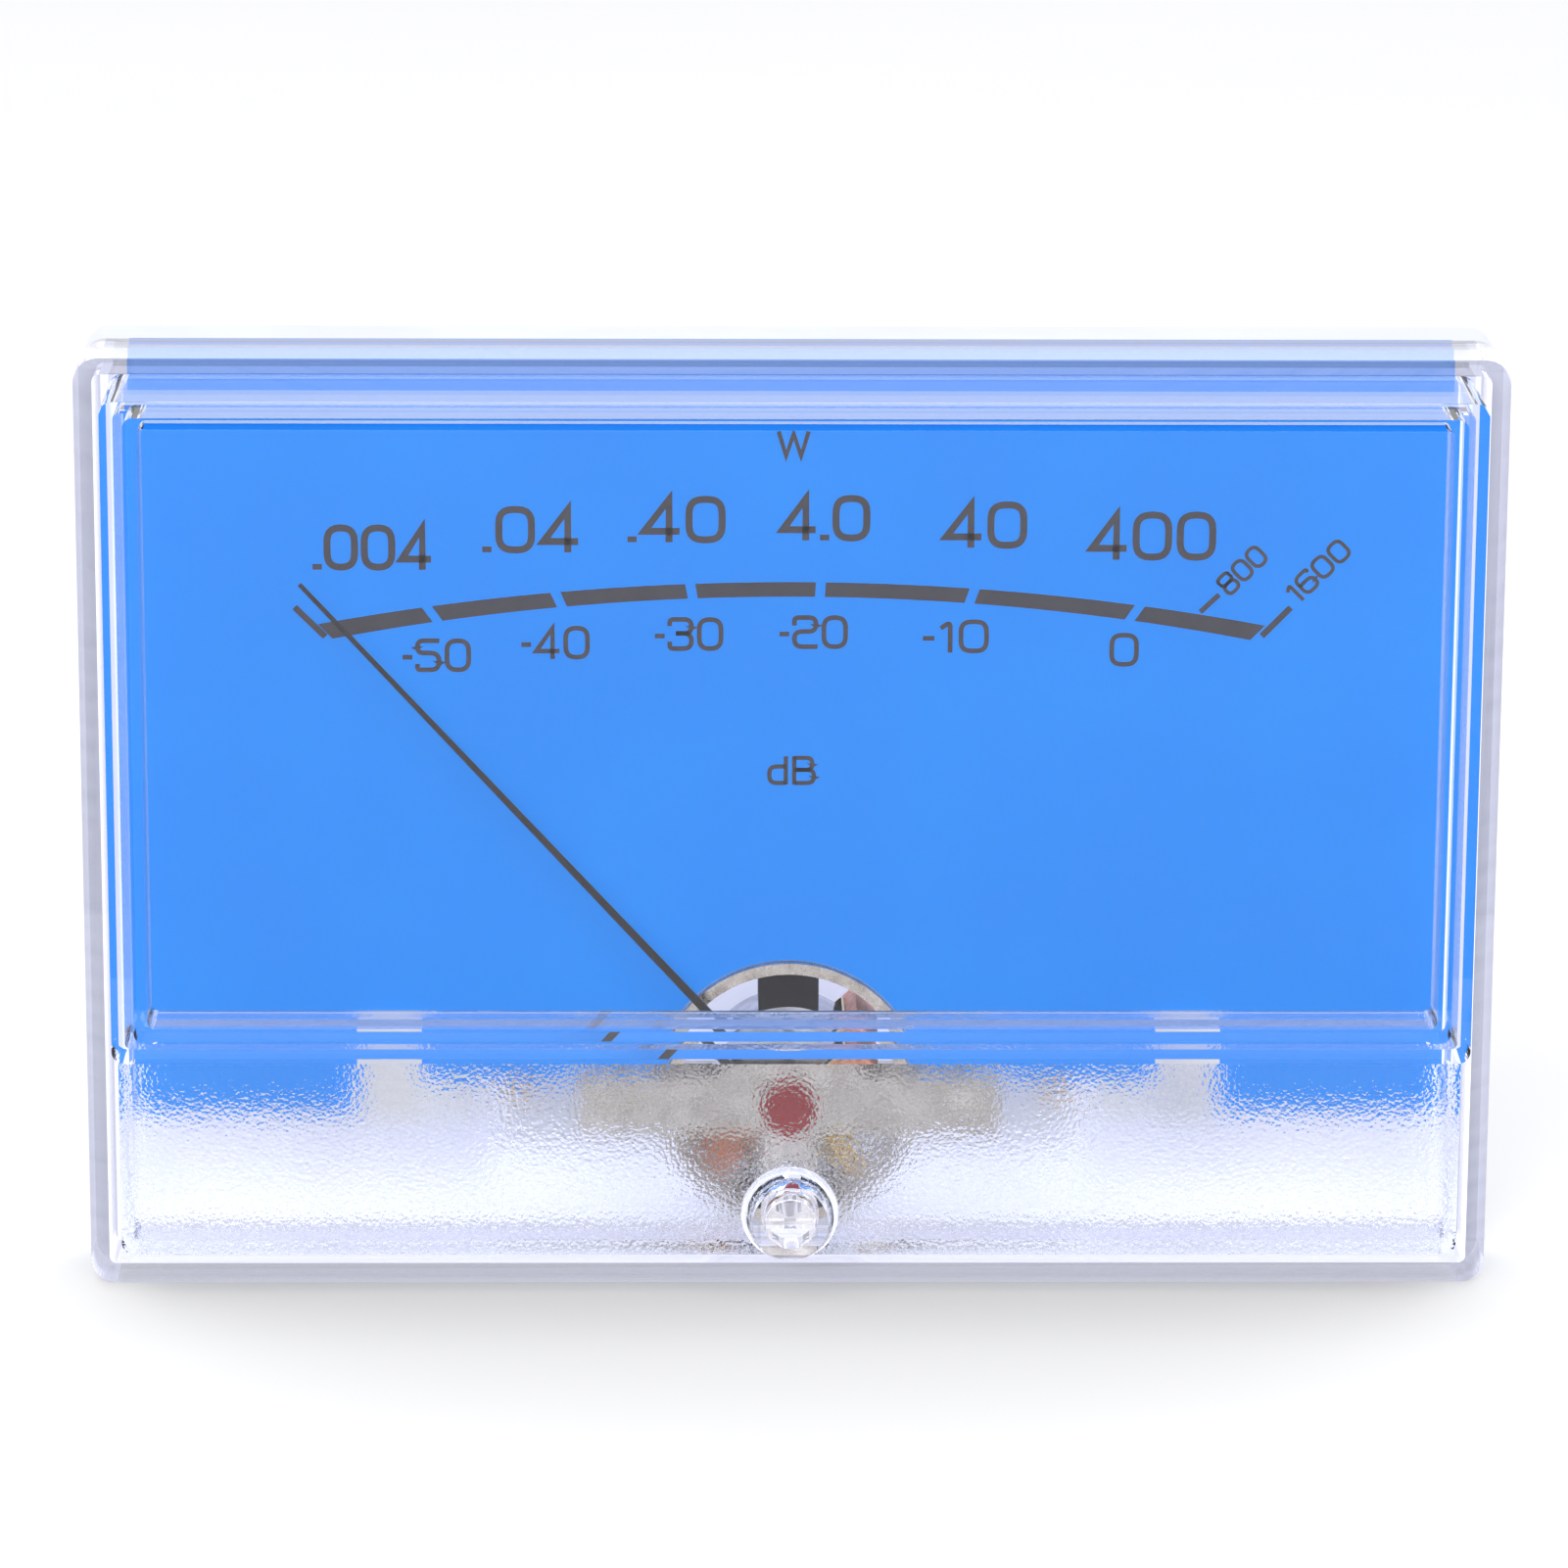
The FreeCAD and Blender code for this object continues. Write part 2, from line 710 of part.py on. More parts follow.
def bridge_fasteners():
    """Pillars on the frame, the screws through the bridge, and the frame's own two screws."""
    pillars, screws = [], []
    for side in (-1, 1):
        x = side * s.pillar_spacing / 2
        length = s.bridge_forward - plate_front
        pillar = rod(f"Pillar{side + 1}", s.pillar_radius, length, x, s.axis_height, plate_front)
        bore = rod(f"PillarBore{side + 1}", s.screw_radius, s.bridge_thickness * 3, x, s.axis_height,
                   s.bridge_forward - s.bridge_thickness * 3)
        pillars.append(cut(f"PillarDrilled{side + 1}", pillar, bore))
        back = s.bridge_forward - s.bridge_thickness * 2
        front = s.bridge_forward + s.bridge_thickness
        stem = rod(f"BridgeStem{side + 1}", s.screw_radius - s.running_gap, front - back, x, s.axis_height, back)
        screws.append(slotted(f"BridgeScrew{side + 1}", stem, x, s.axis_height, front))
    keep(group("BridgePillars", *pillars), "bridge_pillars")
    keep(group("BridgeScrews", *screws), "bridge_screws")


def frame_screws():
    """Brass screws that hold the frame to two posts on the tub's floor."""
    screws, posts = [], []
    for side in (-1, 1):
        x = side * frame_screw_reach
        stem = rod(f"FrameStem{side + 1}", s.screw_radius - s.running_gap, s.frame_thickness, x,
                   s.axis_height, frame_back)
        screws.append(slotted(f"FrameScrew{side + 1}", stem, x, s.axis_height, plate_front))
        posts.append(rod(f"FramePost{side + 1}", s.pillar_radius, frame_back + hump_floor_back, x,
                         s.axis_height, -hump_floor_back))
    keep(group("FrameScrews", *screws), "frame_screws")
    keep(group("FramePosts", *posts), "frame_posts")


def slotted(name, stem, x, z, front):
    """A round slotted head on a stem, with its underside at a depth."""
    head = rod(name + "Head", s.screw_head_radius, s.screw_head, x, z, front)
    reach = s.screw_head_radius
    width = s.screw_head_radius / 4
    slot = block(name + "Slot", as_size(x) - reach, 2 * reach, front + s.screw_head / 2, s.screw_head / 2,
                 z - width / 2, width)
    return cut(name, fuse(name + "Solid", stem, head), slot)


def moving_coil():
    """Wound coil on its thin frame, round the core, with two pivots. It turns about the movement's axis."""
    inner_half = s.core_radius + s.coil_air
    outer_half = inner_half + s.coil_thickness
    half_width = s.coil_width / 2
    wall = s.former_wall

    def frame_body(label, outer, inner, width, front, back):
        body = new_body(label)

        def outline(sketch):
            corners = [(-outer, -front), (outer, -front), (outer, -back), (-outer, -back)]
            draw_outline(sketch, corners, s.coil_thickness / 2)

        def window(sketch):
            grow = outer - inner
            corners = [(-inner, -front + grow), (inner, -front + grow), (inner, -back - grow), (-inner, -back - grow)]
            draw_outline(sketch, corners, s.coil_thickness / 4)

        sketch = sketch_on(body, label + "Outline", "XY_Plane", -width)
        outline(sketch)
        solid = body.newObject("PartDesign::Pad", label + "Solid")
        solid.Profile = sketch
        bind(solid, "Length", 2 * width)
        sketch = sketch_on(body, label + "Window", "XY_Plane", width)
        window(sketch)
        hole = body.newObject("PartDesign::Pocket", label + "Hole")
        hole.Profile = sketch
        bind(hole, "Length", 2 * width)
        return put(body, 0, 0, s.axis_height, s.pointer_angle)

    frame_body("coil_winding", outer_half, inner_half + wall, half_width, coil_front, coil_back)
    frame_body("coil_former", inner_half + wall, inner_half, half_width + s.former_lip,
               coil_front - s.coil_thickness + wall, coil_back + s.coil_thickness - wall)
    front_end = s.bridge_forward - s.jewel_back + s.jewel_cup - s.running_gap
    rear_end = s.rear_bridge_back - s.rear_bridge_thickness - s.jewel_back + s.jewel_cup - s.running_gap
    keep(rod("front_pivot", s.pivot_radius, front_end - coil_front, 0, s.axis_height, coil_front), "front_pivot")
    tip = rod("RearPivotTip", s.pivot_radius, rear_end + coil_back, 0, s.axis_height, -rear_end)
    rear_collet = rod("RearCollet", collet_radius, s.rear_spring_back + coil_back, 0, s.axis_height,
                      -s.rear_spring_back)
    keep(fuse("rear_pivot", tip, rear_collet), "rear_pivot")


def pointer_assembly():
    """Hub on the coil, long tapered pointer and the balance cross with its weights."""
    hub = rod("HubDisc", s.hub_radius, s.hub_thickness, 0, 0, coil_front)
    collet = rod("HubCollet", collet_radius, collet_length, 0, 0, coil_front + s.hub_thickness)
    bore = rod("HubBore", s.pivot_radius, s.hub_thickness + collet_length, 0, 0, coil_front)
    arms, weights = [], []
    cross = (
        (90, s.balance_reach, s.weight_radius, s.weight_length),
        (180, s.tail_reach, s.tail_weight_radius, s.tail_weight_length),
        (270, s.balance_reach, s.weight_radius, s.weight_length),
    )
    for turn, reach, radius, length in cross:
        arms.append(turned_about_axis(balance_arm(f"Arm{turn}", reach), -s.balance_arm_width / 2,
                                      coil_front + s.hub_thickness, 0, turn))
        weights.append(turned_about_axis(balance_weight(f"Weight{turn}", radius, length), 0, 0,
                                         reach - length, turn))
    hub_cross = cut("HubSolid", fuse("HubCross", hub, collet, *arms), bore)
    keep(put(hub_cross, 0, 0, s.axis_height, s.pointer_angle), "pointer_hub")
    keep(put(group("Weights", *weights), 0, 0, s.axis_height, s.pointer_angle), "balance_weights")

    body = new_body("pointer")

    def blade(sketch):
        root, tip = s.pointer_root / 2, s.pointer_tip / 2
        start = (collet_radius + s.hub_radius) / 2
        draw_outline(sketch, [(-root, start), (root, start), (tip, s.pointer_reach), (-tip, s.pointer_reach)])

    def foot(sketch):
        draw_circle(sketch, 0, 0, s.hub_radius)
        draw_circle(sketch, 0, 0, collet_radius)

    pad(body, "Foot", coil_front + s.hub_thickness, s.pointer_thickness, foot)
    pad(body, "Blade", coil_front + s.hub_thickness, s.pointer_thickness, blade)
    put(body, 0, 0, s.axis_height, s.pointer_angle)


def balance_arm(name, reach):
    """A thin upright arm of the balance cross."""
    arm = doc.addObject("Part::Box", name)
    bind(arm, "Length", s.balance_arm_width)
    bind(arm, "Width", s.hub_thickness / 2)
    bind(arm, "Height", reach)
    return arm


def balance_weight(name, radius, length):
    """A small round weight with a square way through it for its arm."""
    middle = coil_front + s.hub_thickness * 0.75
    weight = doc.addObject("Part::Cylinder", name + "Round")
    bind(weight, "Radius", radius)
    bind(weight, "Height", length)
    way = balance_arm(name + "Way", length)
    put(weight, 0, middle, 0)
    put(way, -s.balance_arm_width / 2, coil_front + s.hub_thickness, 0)
    return cut(name, weight, way)


def turned_about_axis(piece, x, forward, lift, turn):
    """Place a piece by offsets in its own upright frame, then turn the frame about the depth axis."""
    x, y, lift = as_size(x), -as_size(forward), as_size(lift)
    spin = f"create(<<rotation>>; create(<<vector>>; 0; 1; 0); {turn})"
    origin = "create(<<vector>>; 0; 0; 0)"
    turned = f"create(<<placement>>; {origin}; {spin})"
    moved = f"create(<<placement>>; create(<<vector>>; {x.text}; {y.text}; {lift.text}); create(<<rotation>>; 0; 0; 0; 1))"
    piece.setExpression("Placement", f"{turned} * {moved}")
    return piece


def hairspring(label, forward, turn):
    """A flat spiral strip made of half circles about two centres."""
    inner, pitch, strip = s.spring_inner.number, s.spring_pitch.number, s.spring_strip.number
    height, turns = s.spring_height.number, s.spring_turns.number
    edges = []
    for side in (-1, 1):
        for half in range(int(2 * turns)):
            radius = inner + half * pitch / 2 + side * strip / 2
            centre = FreeCAD.Vector(pitch / 2 if half % 2 else 0, 0, 0)
            start, stop = (math.pi, 2 * math.pi) if half % 2 else (0, math.pi)
            circle = Part.Circle(centre, FreeCAD.Vector(0, 0, 1), radius)
            edges.append(Part.Edge(circle, start, stop))
    outer_end = inner + turns * pitch
    for radius in (inner, outer_end):
        ends = [FreeCAD.Vector(radius + side * strip / 2, 0, 0) for side in (-1, 1)]
        edges.append(Part.makeLine(*ends))
    outline = Part.Wire(Part.__sortEdges__(edges))
    spring = doc.addObject("Part::Feature", label)
    solid = Part.Face(outline).extrude(FreeCAD.Vector(0, 0, height))
    solid.rotate(FreeCAD.Vector(0, 0, 0), FreeCAD.Vector(0, 0, 1), turn)
    spring.Shape = solid
    keep(put(spring, 0, forward, s.axis_height, 90, (1, 0, 0)), label)


def zero_adjuster():
    """Clear slotted screw in the cover's boss, with an eccentric pin that reaches the lever's slot."""
    front = lower_front + s.boss_length + s.adjuster_proud
    inside = lower_front - s.pane
    gap = s.running_gap
    barrel = rod("AdjusterBarrel", s.adjuster_radius, front - inside + gap, 0, s.adjuster_height, inside - gap)
    flange = rod("AdjusterFlange", s.adjuster_flange, s.adjuster_flange_depth, 0, s.adjuster_height,
                 inside - gap - s.adjuster_flange_depth)
    pin_back = lever_back - s.sheet_gap
    pin = rod("AdjusterPin", s.eccentric_radius, inside - pin_back, 0, s.adjuster_height + s.eccentric, pin_back)
    slot = block("AdjusterSlot", -s.adjuster_radius, 2 * s.adjuster_radius, front - s.adjuster_slot_depth,
                 s.adjuster_slot_depth, s.adjuster_height - s.adjuster_slot_width / 2, s.adjuster_slot_width)
    keep(cut("zero_screw", fuse("AdjusterSolid", barrel, flange, pin), slot), "zero_screw")


def zero_lever():
    """Nickel lever that turns on the front jewel screw; its slot takes the adjuster's pin."""
    body = new_body("zero_lever")
    floor = s.lever_floor - s.axis_height
    neck = s.lever_ring * 0.7

    def plate(sketch):
        draw_circle(sketch, 0, 0, s.lever_ring)

    def arm(sketch):
        draw_outline(sketch, square_corners(-s.lever_half, s.lever_half, floor, -neck))

    def bore(sketch):
        draw_circle(sketch, 0, 0, s.jewel_radius)

    def fork(sketch):
        half = s.eccentric_radius + s.fork_gap
        low = s.adjuster_height - s.eccentric_radius - s.eccentric - s.axis_height
        draw_outline(sketch, square_corners(-half, half, low, s.slot_top - s.axis_height))

    def finger(sketch):
        width = s.balance_arm_width
        draw_outline(sketch, square_corners(-width, width, neck, finger_top))

    def leg(sketch):
        width = s.balance_arm_width
        draw_outline(sketch, square_corners(-width, width, finger_top - s.lever_thickness, finger_top))

    def foot(sketch):
        width = s.balance_arm_width
        draw_outline(sketch, square_corners(-width, width, spring_end + s.spring_strip, finger_top))

    pad(body, "Ring", lever_back, s.lever_thickness, plate)
    pad(body, "Arm", lever_back, s.lever_thickness, arm)
    pad(body, "Finger", lever_back, s.lever_thickness, finger)
    pad(body, "Leg", s.front_spring_forward, lever_back - s.front_spring_forward, leg)
    pad(body, "Foot", s.front_spring_forward, s.spring_height, foot)
    pocket(body, "Bore", lever_back + s.lever_thickness, s.lever_thickness, bore)
    pocket(body, "Fork", lever_back + s.lever_thickness, s.lever_thickness, fork)
    put(body, 0, 0, s.axis_height)


def terminals():
    """Two threaded terminals through the back, each with a tag, a washer and a nut."""
    studs, washers, tags, nuts = [], [], [], []
    for side in (-1, 1):
        x = side * s.stud_spacing / 2
        z = s.stud_height
        mark = side + 1
        head = rod(f"StudHead{mark}", s.stud_head_radius, s.stud_head, x, z, -floor_back)
        shank = rod(f"StudShank{mark}", s.thread_middle_radius, s.stud_reach + s.base_wall, x, z,
                    -s.housing_back - s.stud_reach)
        free = s.stud_reach - s.tag_thickness - s.washer_thickness - s.nut_thickness - s.thread_run_out
        thread = rod(f"StudThread{mark}", s.stud_radius, free, x, z, -s.housing_back - s.stud_reach)
        studs.append(fuse(f"Stud{mark}", head, shank, thread))
        hole = s.stud_radius + s.running_gap
        tag_back = -s.housing_back - s.tag_thickness
        tag = block(f"TagPlate{mark}", x - s.tag_width / 2, s.tag_width, tag_back, s.tag_thickness,
                    z - s.tag_width / 2, s.tag_length)
        tag_hole = rod(f"TagHole{mark}", hole, s.tag_thickness, x, z, tag_back)
        eye = rod(f"TagEye{mark}", s.tag_width / 5, s.tag_thickness, x, z + s.tag_length * 0.65, tag_back)
        tags.append(cut(f"Tag{mark}", tag, fuse(f"TagHoles{mark}", tag_hole, eye)))
        washer_back = tag_back - s.washer_thickness
        disc = rod(f"WasherDisc{mark}", s.washer_radius, s.washer_thickness, x, z, washer_back)
        disc_hole = rod(f"WasherHole{mark}", hole, s.washer_thickness, x, z, washer_back)
        washers.append(cut(f"Washer{mark}", disc, disc_hole))
        nut_back = washer_back - s.nut_thickness
        prism = doc.addObject("Part::Prism", f"NutPrism{mark}")
        prism.Polygon = 6
        bind(prism, "Circumradius", s.nut_flats / math.sqrt(3))
        bind(prism, "Height", s.nut_thickness)
        put(prism, x, nut_back, z, 90, (1, 0, 0))
        nut_hole = rod(f"NutHole{mark}", s.thread_middle_radius + s.running_gap, s.nut_thickness, x, z, nut_back)
        nuts.append(cut(f"Nut{mark}", prism, nut_hole))
    keep(group("TerminalStuds", *studs), "terminal_studs")
    keep(group("TerminalTags", *tags), "terminal_tags")
    keep(group("TerminalWashers", *washers), "terminal_washers")
    keep(group("TerminalNuts", *nuts), "terminal_nuts")


# Movement places worked out from the sizes
ring_inner = s.ring_outer - s.ring_wall
ring_back = s.ring_forward - s.ring_depth
frame_back = ring_back - s.frame_thickness
plate_front = ring_back
holder_length = s.core_forward - ring_back
coil_front = s.core_forward + s.coil_air + s.coil_thickness
coil_back = s.core_forward - s.core_depth - s.coil_air - s.coil_thickness
rear_gap = frame_back + s.rear_bridge_back - s.rear_bridge_thickness
frame_screw_reach = s.frame_half - s.pillar_radius - s.sheet_gap
hump_floor_back = floor_back + s.hump_depth
lever_back = s.bridge_forward + s.bridge_thickness + s.sheet_gap
collet_radius = s.spring_inner - s.spring_strip / 2 - s.sheet_gap / 2
collet_length = s.front_spring_forward + s.spring_height - coil_front - s.hub_thickness
spring_end = s.spring_inner + s.spring_turns * s.spring_pitch
finger_top = s.bridge_lobe_height + s.sheet_gap * 4 + s.lever_thickness

front_cover()
rear_base()
dial_plate()
light_diffuser()
back_light()
movement_frame()
magnet_circuit()
front_bridge()
rear_bridge()
jewel_screw("front_jewel_screw", s.bridge_forward - s.jewel_back,
            s.bridge_thickness + s.jewel_back + s.lever_thickness + 2 * s.sheet_gap,
            lever_back + s.lever_thickness + s.sheet_gap, s.bridge_forward - s.jewel_back)
jewel_screw("rear_jewel_screw", -s.rear_bridge_back, s.rear_bridge_thickness + s.jewel_back,
            -s.rear_bridge_back - s.jewel_head,
            -s.rear_bridge_back + s.rear_bridge_thickness + s.jewel_back - s.jewel_cup)
bridge_fasteners()
frame_screws()
moving_coil()
pointer_assembly()
hairspring("front_hairspring", s.front_spring_forward, 90)
hairspring("rear_hairspring", -s.rear_spring_back, 0)
zero_adjuster()
zero_lever()
terminals()
doc.recompute()

for thing in doc.Objects:
    if "Invalid" in thing.State or "Error" in thing.State:
        raise RuntimeError(f"{thing.Label} failed: {thing.State}")
for label, thing in pieces.items():
    if thing.Shape.isNull() or not thing.Shape.isValid():
        raise RuntimeError(f"{label} has no valid shape")

os.makedirs("parts", exist_ok=True)
for label, thing in pieces.items():
    thing.Shape.exportStep(f"parts/{label}.step")
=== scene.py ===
import math

import bpy
from mathutils import Matrix, Vector


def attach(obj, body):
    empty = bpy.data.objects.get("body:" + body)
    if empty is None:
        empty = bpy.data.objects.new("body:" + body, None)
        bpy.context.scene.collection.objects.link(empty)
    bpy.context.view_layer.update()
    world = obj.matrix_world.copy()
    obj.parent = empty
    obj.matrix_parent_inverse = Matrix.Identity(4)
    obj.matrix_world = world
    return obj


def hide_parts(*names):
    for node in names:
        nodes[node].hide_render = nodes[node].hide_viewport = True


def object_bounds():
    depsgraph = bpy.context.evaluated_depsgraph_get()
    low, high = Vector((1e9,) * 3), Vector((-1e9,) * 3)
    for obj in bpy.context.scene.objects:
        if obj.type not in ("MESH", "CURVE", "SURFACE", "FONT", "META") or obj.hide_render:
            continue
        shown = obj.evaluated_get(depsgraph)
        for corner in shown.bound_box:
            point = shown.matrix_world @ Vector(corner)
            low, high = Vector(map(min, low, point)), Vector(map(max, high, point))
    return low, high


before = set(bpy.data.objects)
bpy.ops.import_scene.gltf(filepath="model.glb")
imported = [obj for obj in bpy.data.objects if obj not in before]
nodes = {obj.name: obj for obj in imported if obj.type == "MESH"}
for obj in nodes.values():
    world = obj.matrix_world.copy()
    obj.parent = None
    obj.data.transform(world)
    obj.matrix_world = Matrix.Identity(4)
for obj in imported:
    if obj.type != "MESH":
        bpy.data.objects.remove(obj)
cad_low, cad_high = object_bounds()

# Places in millimetres
MM = 0.001
HALF_WIDTH = cad_high[0] / MM
TOP = cad_high[2] / MM
DIAL_FRONT = 0.30
PRINT_DEPTH = 0.02
PIVOT_HEIGHT = 17.0
FROSTED_FACE = -13.6
FROSTED_REACH = 0.3
FROSTED_TOP = 25.6
FRAME_BLOCKS_BACK = 6.89

# Boxes that the shading tells apart: half width, bottom, top and back
# Outside INSIDE_SKIRT the clear cover has a painted glow.
INSIDE_SKIRT = (HALF_WIDTH - 3.3, 4.6, TOP - 1.4, 100.0)
# Inside BASE_HOLLOW and HUMP_HOLLOW the base has a painted glow.
BASE_HOLLOW = (HALF_WIDTH - 2.0, 1.9, TOP - 1.9, 7.0)
HUMP_HOLLOW = (29.4, 3.0, 32.4, 15.5)
BASE_RIM = (HALF_WIDTH - 4.6, TOP - 3.5, TOP + 4.5, 1.7)

# Camera
CAMERA_PITCH = math.radians(14.84)
CAMERA_YAW = math.radians(-0.96)
CAMERA_ROLL = math.radians(0.28)
CAMERA_DISTANCE = 660.01
CAMERA_TARGET = Vector((-0.67, -8.0, 49.64))
CAMERA_FOCAL_PIXELS = 7130.53
PHOTO_PIXELS = 1601
SENSOR_WIDTH = 36.0


def linear(red, green, blue):
    """Scene colour of a screen colour given as 0 to 255."""
    def one(value):
        value /= 255
        return value / 12.92 if value <= 0.04045 else ((value + 0.055) / 1.055) ** 2.4
    return one(red), one(green), one(blue), 1.0


def add_camera():
    """Camera slightly above the meter, with its long lens."""
    forward = Vector((
        -math.sin(CAMERA_YAW) * math.cos(CAMERA_PITCH),
        math.cos(CAMERA_YAW) * math.cos(CAMERA_PITCH),
        -math.sin(CAMERA_PITCH),
    ))
    right = forward.cross(Vector((0, 0, 1))).normalized()
    up = right.cross(forward)
    turned_right = math.cos(CAMERA_ROLL) * right + math.sin(CAMERA_ROLL) * up
    turned_up = math.cos(CAMERA_ROLL) * up - math.sin(CAMERA_ROLL) * right
    place = (CAMERA_TARGET - forward * CAMERA_DISTANCE) * MM
    data = bpy.data.cameras.new("camera")
    data.lens = CAMERA_FOCAL_PIXELS / PHOTO_PIXELS * SENSOR_WIDTH
    data.sensor_width = SENSOR_WIDTH
    camera = bpy.data.objects.new("camera", data)
    camera.matrix_world = Matrix((
        (turned_right.x, turned_up.x, -forward.x, place.x),
        (turned_right.y, turned_up.y, -forward.y, place.y),
        (turned_right.z, turned_up.z, -forward.z, place.z),
        (0, 0, 0, 1),
    ))
    bpy.context.scene.collection.objects.link(camera)
    bpy.context.scene.camera = camera


# Materials
class Shading:
    """A material with its principled shader and short calls for adding nodes."""

    def __init__(self, name):
        self.material = bpy.data.materials.new(name)
        self.material.use_nodes = True
        self.tree = self.material.node_tree
        self.shader = self.tree.nodes["Principled BSDF"]
        self.output = self.tree.nodes["Material Output"]
        self.place = self.node("ShaderNodeTexCoord").outputs["Object"]

    def node(self, kind, **settings):
        made = self.tree.nodes.new(kind)
        for key, value in settings.items():
            setattr(made, key, value)
        return made

    def join(self, source, target):
        self.tree.links.new(source, target)

    def set(self, **values):
        for key, value in values.items():
            self.shader.inputs[key.replace("_", " ")].default_value = value

    def noise(self, size, detail=3.0, stretch=(1, 1, 1)):
        """Noise whose grains are about size millimetres across."""
        scaled = self.node("ShaderNodeMapping")
        scaled.inputs["Scale"].default_value = [1 / (size * MM * s) for s in stretch]
        self.join(self.place, scaled.inputs["Vector"])
        made = self.node("ShaderNodeTexNoise")
        made.inputs["Scale"].default_value = 1.0
        made.inputs["Detail"].default_value = detail
        self.join(scaled.outputs["Vector"], made.inputs["Vector"])
        return made.outputs["Fac"]

    def ramp(self, source, stops):
        made = self.node("ShaderNodeValToRGB")
        elements = made.color_ramp.elements
        while len(elements) < len(stops):
            elements.new(0.5)
        for element, (position, colour) in zip(elements, stops):
            element.position = position
            element.color = colour
        self.join(source, made.inputs["Fac"])
        return made.outputs["Color"]

    def spread(self, source, low, high):
        """source, from its usual 0.3 to 0.7, onto low to high."""
        made = self.node("ShaderNodeMapRange")
        made.inputs["From Min"].default_value = 0.3
        made.inputs["From Max"].default_value = 0.7
        made.inputs["To Min"].default_value = low
        made.inputs["To Max"].default_value = high
        self.join(source, made.inputs["Value"])
        return made.outputs["Result"]

    def tint(self, shade):
        """Gives the surface and the light that it gives off one colour."""
        self.join(shade, self.shader.inputs["Base Color"])
        self.join(shade, self.shader.inputs["Emission Color"])

    def finish(self, rough, patch, depth, grain, detail=3.0):
        """Patches of gloss and a fine raised grain, with sizes in millimetres."""
        self.join(self.spread(self.noise(patch), rough[0], rough[1]), self.shader.inputs["Roughness"])
        self.join(self.bump(self.noise(grain, detail), depth), self.shader.inputs["Normal"])

    def math(self, operation, first, second=0.0):
        made = self.node("ShaderNodeMath", operation=operation)
        for socket, value in zip(made.inputs, (first, second)):
            if isinstance(value, (int, float)):
                socket.default_value = value
            else:
                self.join(value, socket)
        return made.outputs["Value"]

    def along(self, axis):
        """Place along the X, Y or Z axis, in metres."""
        parts = self.node("ShaderNodeSeparateXYZ")
        self.join(self.place, parts.inputs["Vector"])
        return parts.outputs[axis]

    def inside(self, box):
        """1 in a box about the middle, given in millimetres, and 0 outside."""
        half, bottom, top, back = box
        across = self.math("LESS_THAN", self.math("ABSOLUTE", self.along("X")), half * MM)
        above = self.math("GREATER_THAN", self.along("Z"), bottom * MM)
        below = self.math("LESS_THAN", self.along("Z"), top * MM)
        forward = self.math("LESS_THAN", self.along("Y"), back * MM)
        level = self.math("MULTIPLY", above, below)
        return self.math("MULTIPLY", self.math("MULTIPLY", across, forward), level)

    def bump(self, source, depth, normal=None):
        """Raises the surface by up to depth millimetres."""
        made = self.node("ShaderNodeBump")
        made.inputs["Strength"].default_value = 1.0
        made.inputs["Distance"].default_value = depth * MM
        self.join(source, made.inputs["Height"])
        if normal is not None:
            self.join(normal, made.inputs["Normal"])
        return made.outputs["Normal"]


PATCH_IN_GRAINS = 9


def worked(name, dark, light, metallic, rough, grain, depth, stretch):
    """A surface with small changes of colour and gloss and a fine grain."""
    m = Shading(name)
    m.set(Metallic=metallic)
    patches = m.noise(grain * PATCH_IN_GRAINS, 4.0)
    fine = m.noise(grain, 3.0, stretch)
    m.join(m.ramp(patches, [(0.35, linear(*dark)), (0.65, linear(*light))]), m.shader.inputs["Base Color"])
    m.join(m.spread(fine, rough[0], rough[1]), m.shader.inputs["Roughness"])
    m.join(m.bump(fine, depth), m.shader.inputs["Normal"])
    return m.material


CLEAR_TINT = (0.945, 0.95, 1.0, 1)
# Colour of the painted shade at the edges of the pebbles.
PEBBLE_SHADE = (0.78, 0.79, 0.84, 1)
PASSED_LIGHT = (0.96, 0.965, 0.98, 1)
PEBBLE_SIZE = 0.42
WHITE = (1, 1, 1, 1)


def pebble(m, gloss, normal):
    """Pebbles on the face behind the frosted band, with painted shade darkening each pebble towards its
    edges. Gives back the new gloss and normal.
    """
    from_face = m.math("ABSOLUTE", m.math("SUBTRACT", m.along("Y"), FROSTED_FACE * MM))
    near = m.math("LESS_THAN", from_face, FROSTED_REACH * MM)
    below = m.math("LESS_THAN", m.along("Z"), FROSTED_TOP * MM)
    mask = m.math("MULTIPLY", near, below)
    cells = m.node("ShaderNodeTexVoronoi", feature="SMOOTH_F1")
    cells.inputs["Scale"].default_value = 1 / (PEBBLE_SIZE * MM)
    cells.inputs["Smoothness"].default_value = 0.5
    m.join(m.place, cells.inputs["Vector"])
    distance = cells.outputs["Distance"]
    height = m.math("MULTIPLY", m.math("ADD", distance, m.noise(0.25, 1.0)), mask)
    # Painted shade: each pebble darker towards its edges.
    shade = m.math("SUBTRACT", 1.0, m.math("MULTIPLY", mask, m.math("MULTIPLY", distance, 0.5)))
    m.join(m.ramp(shade, [(0.6, PEBBLE_SHADE), (1.0, CLEAR_TINT)]), m.shader.inputs["Base Color"])
    return m.math("ADD", gloss, m.math("MULTIPLY", mask, 0.03)), m.bump(height, 0.085, normal)


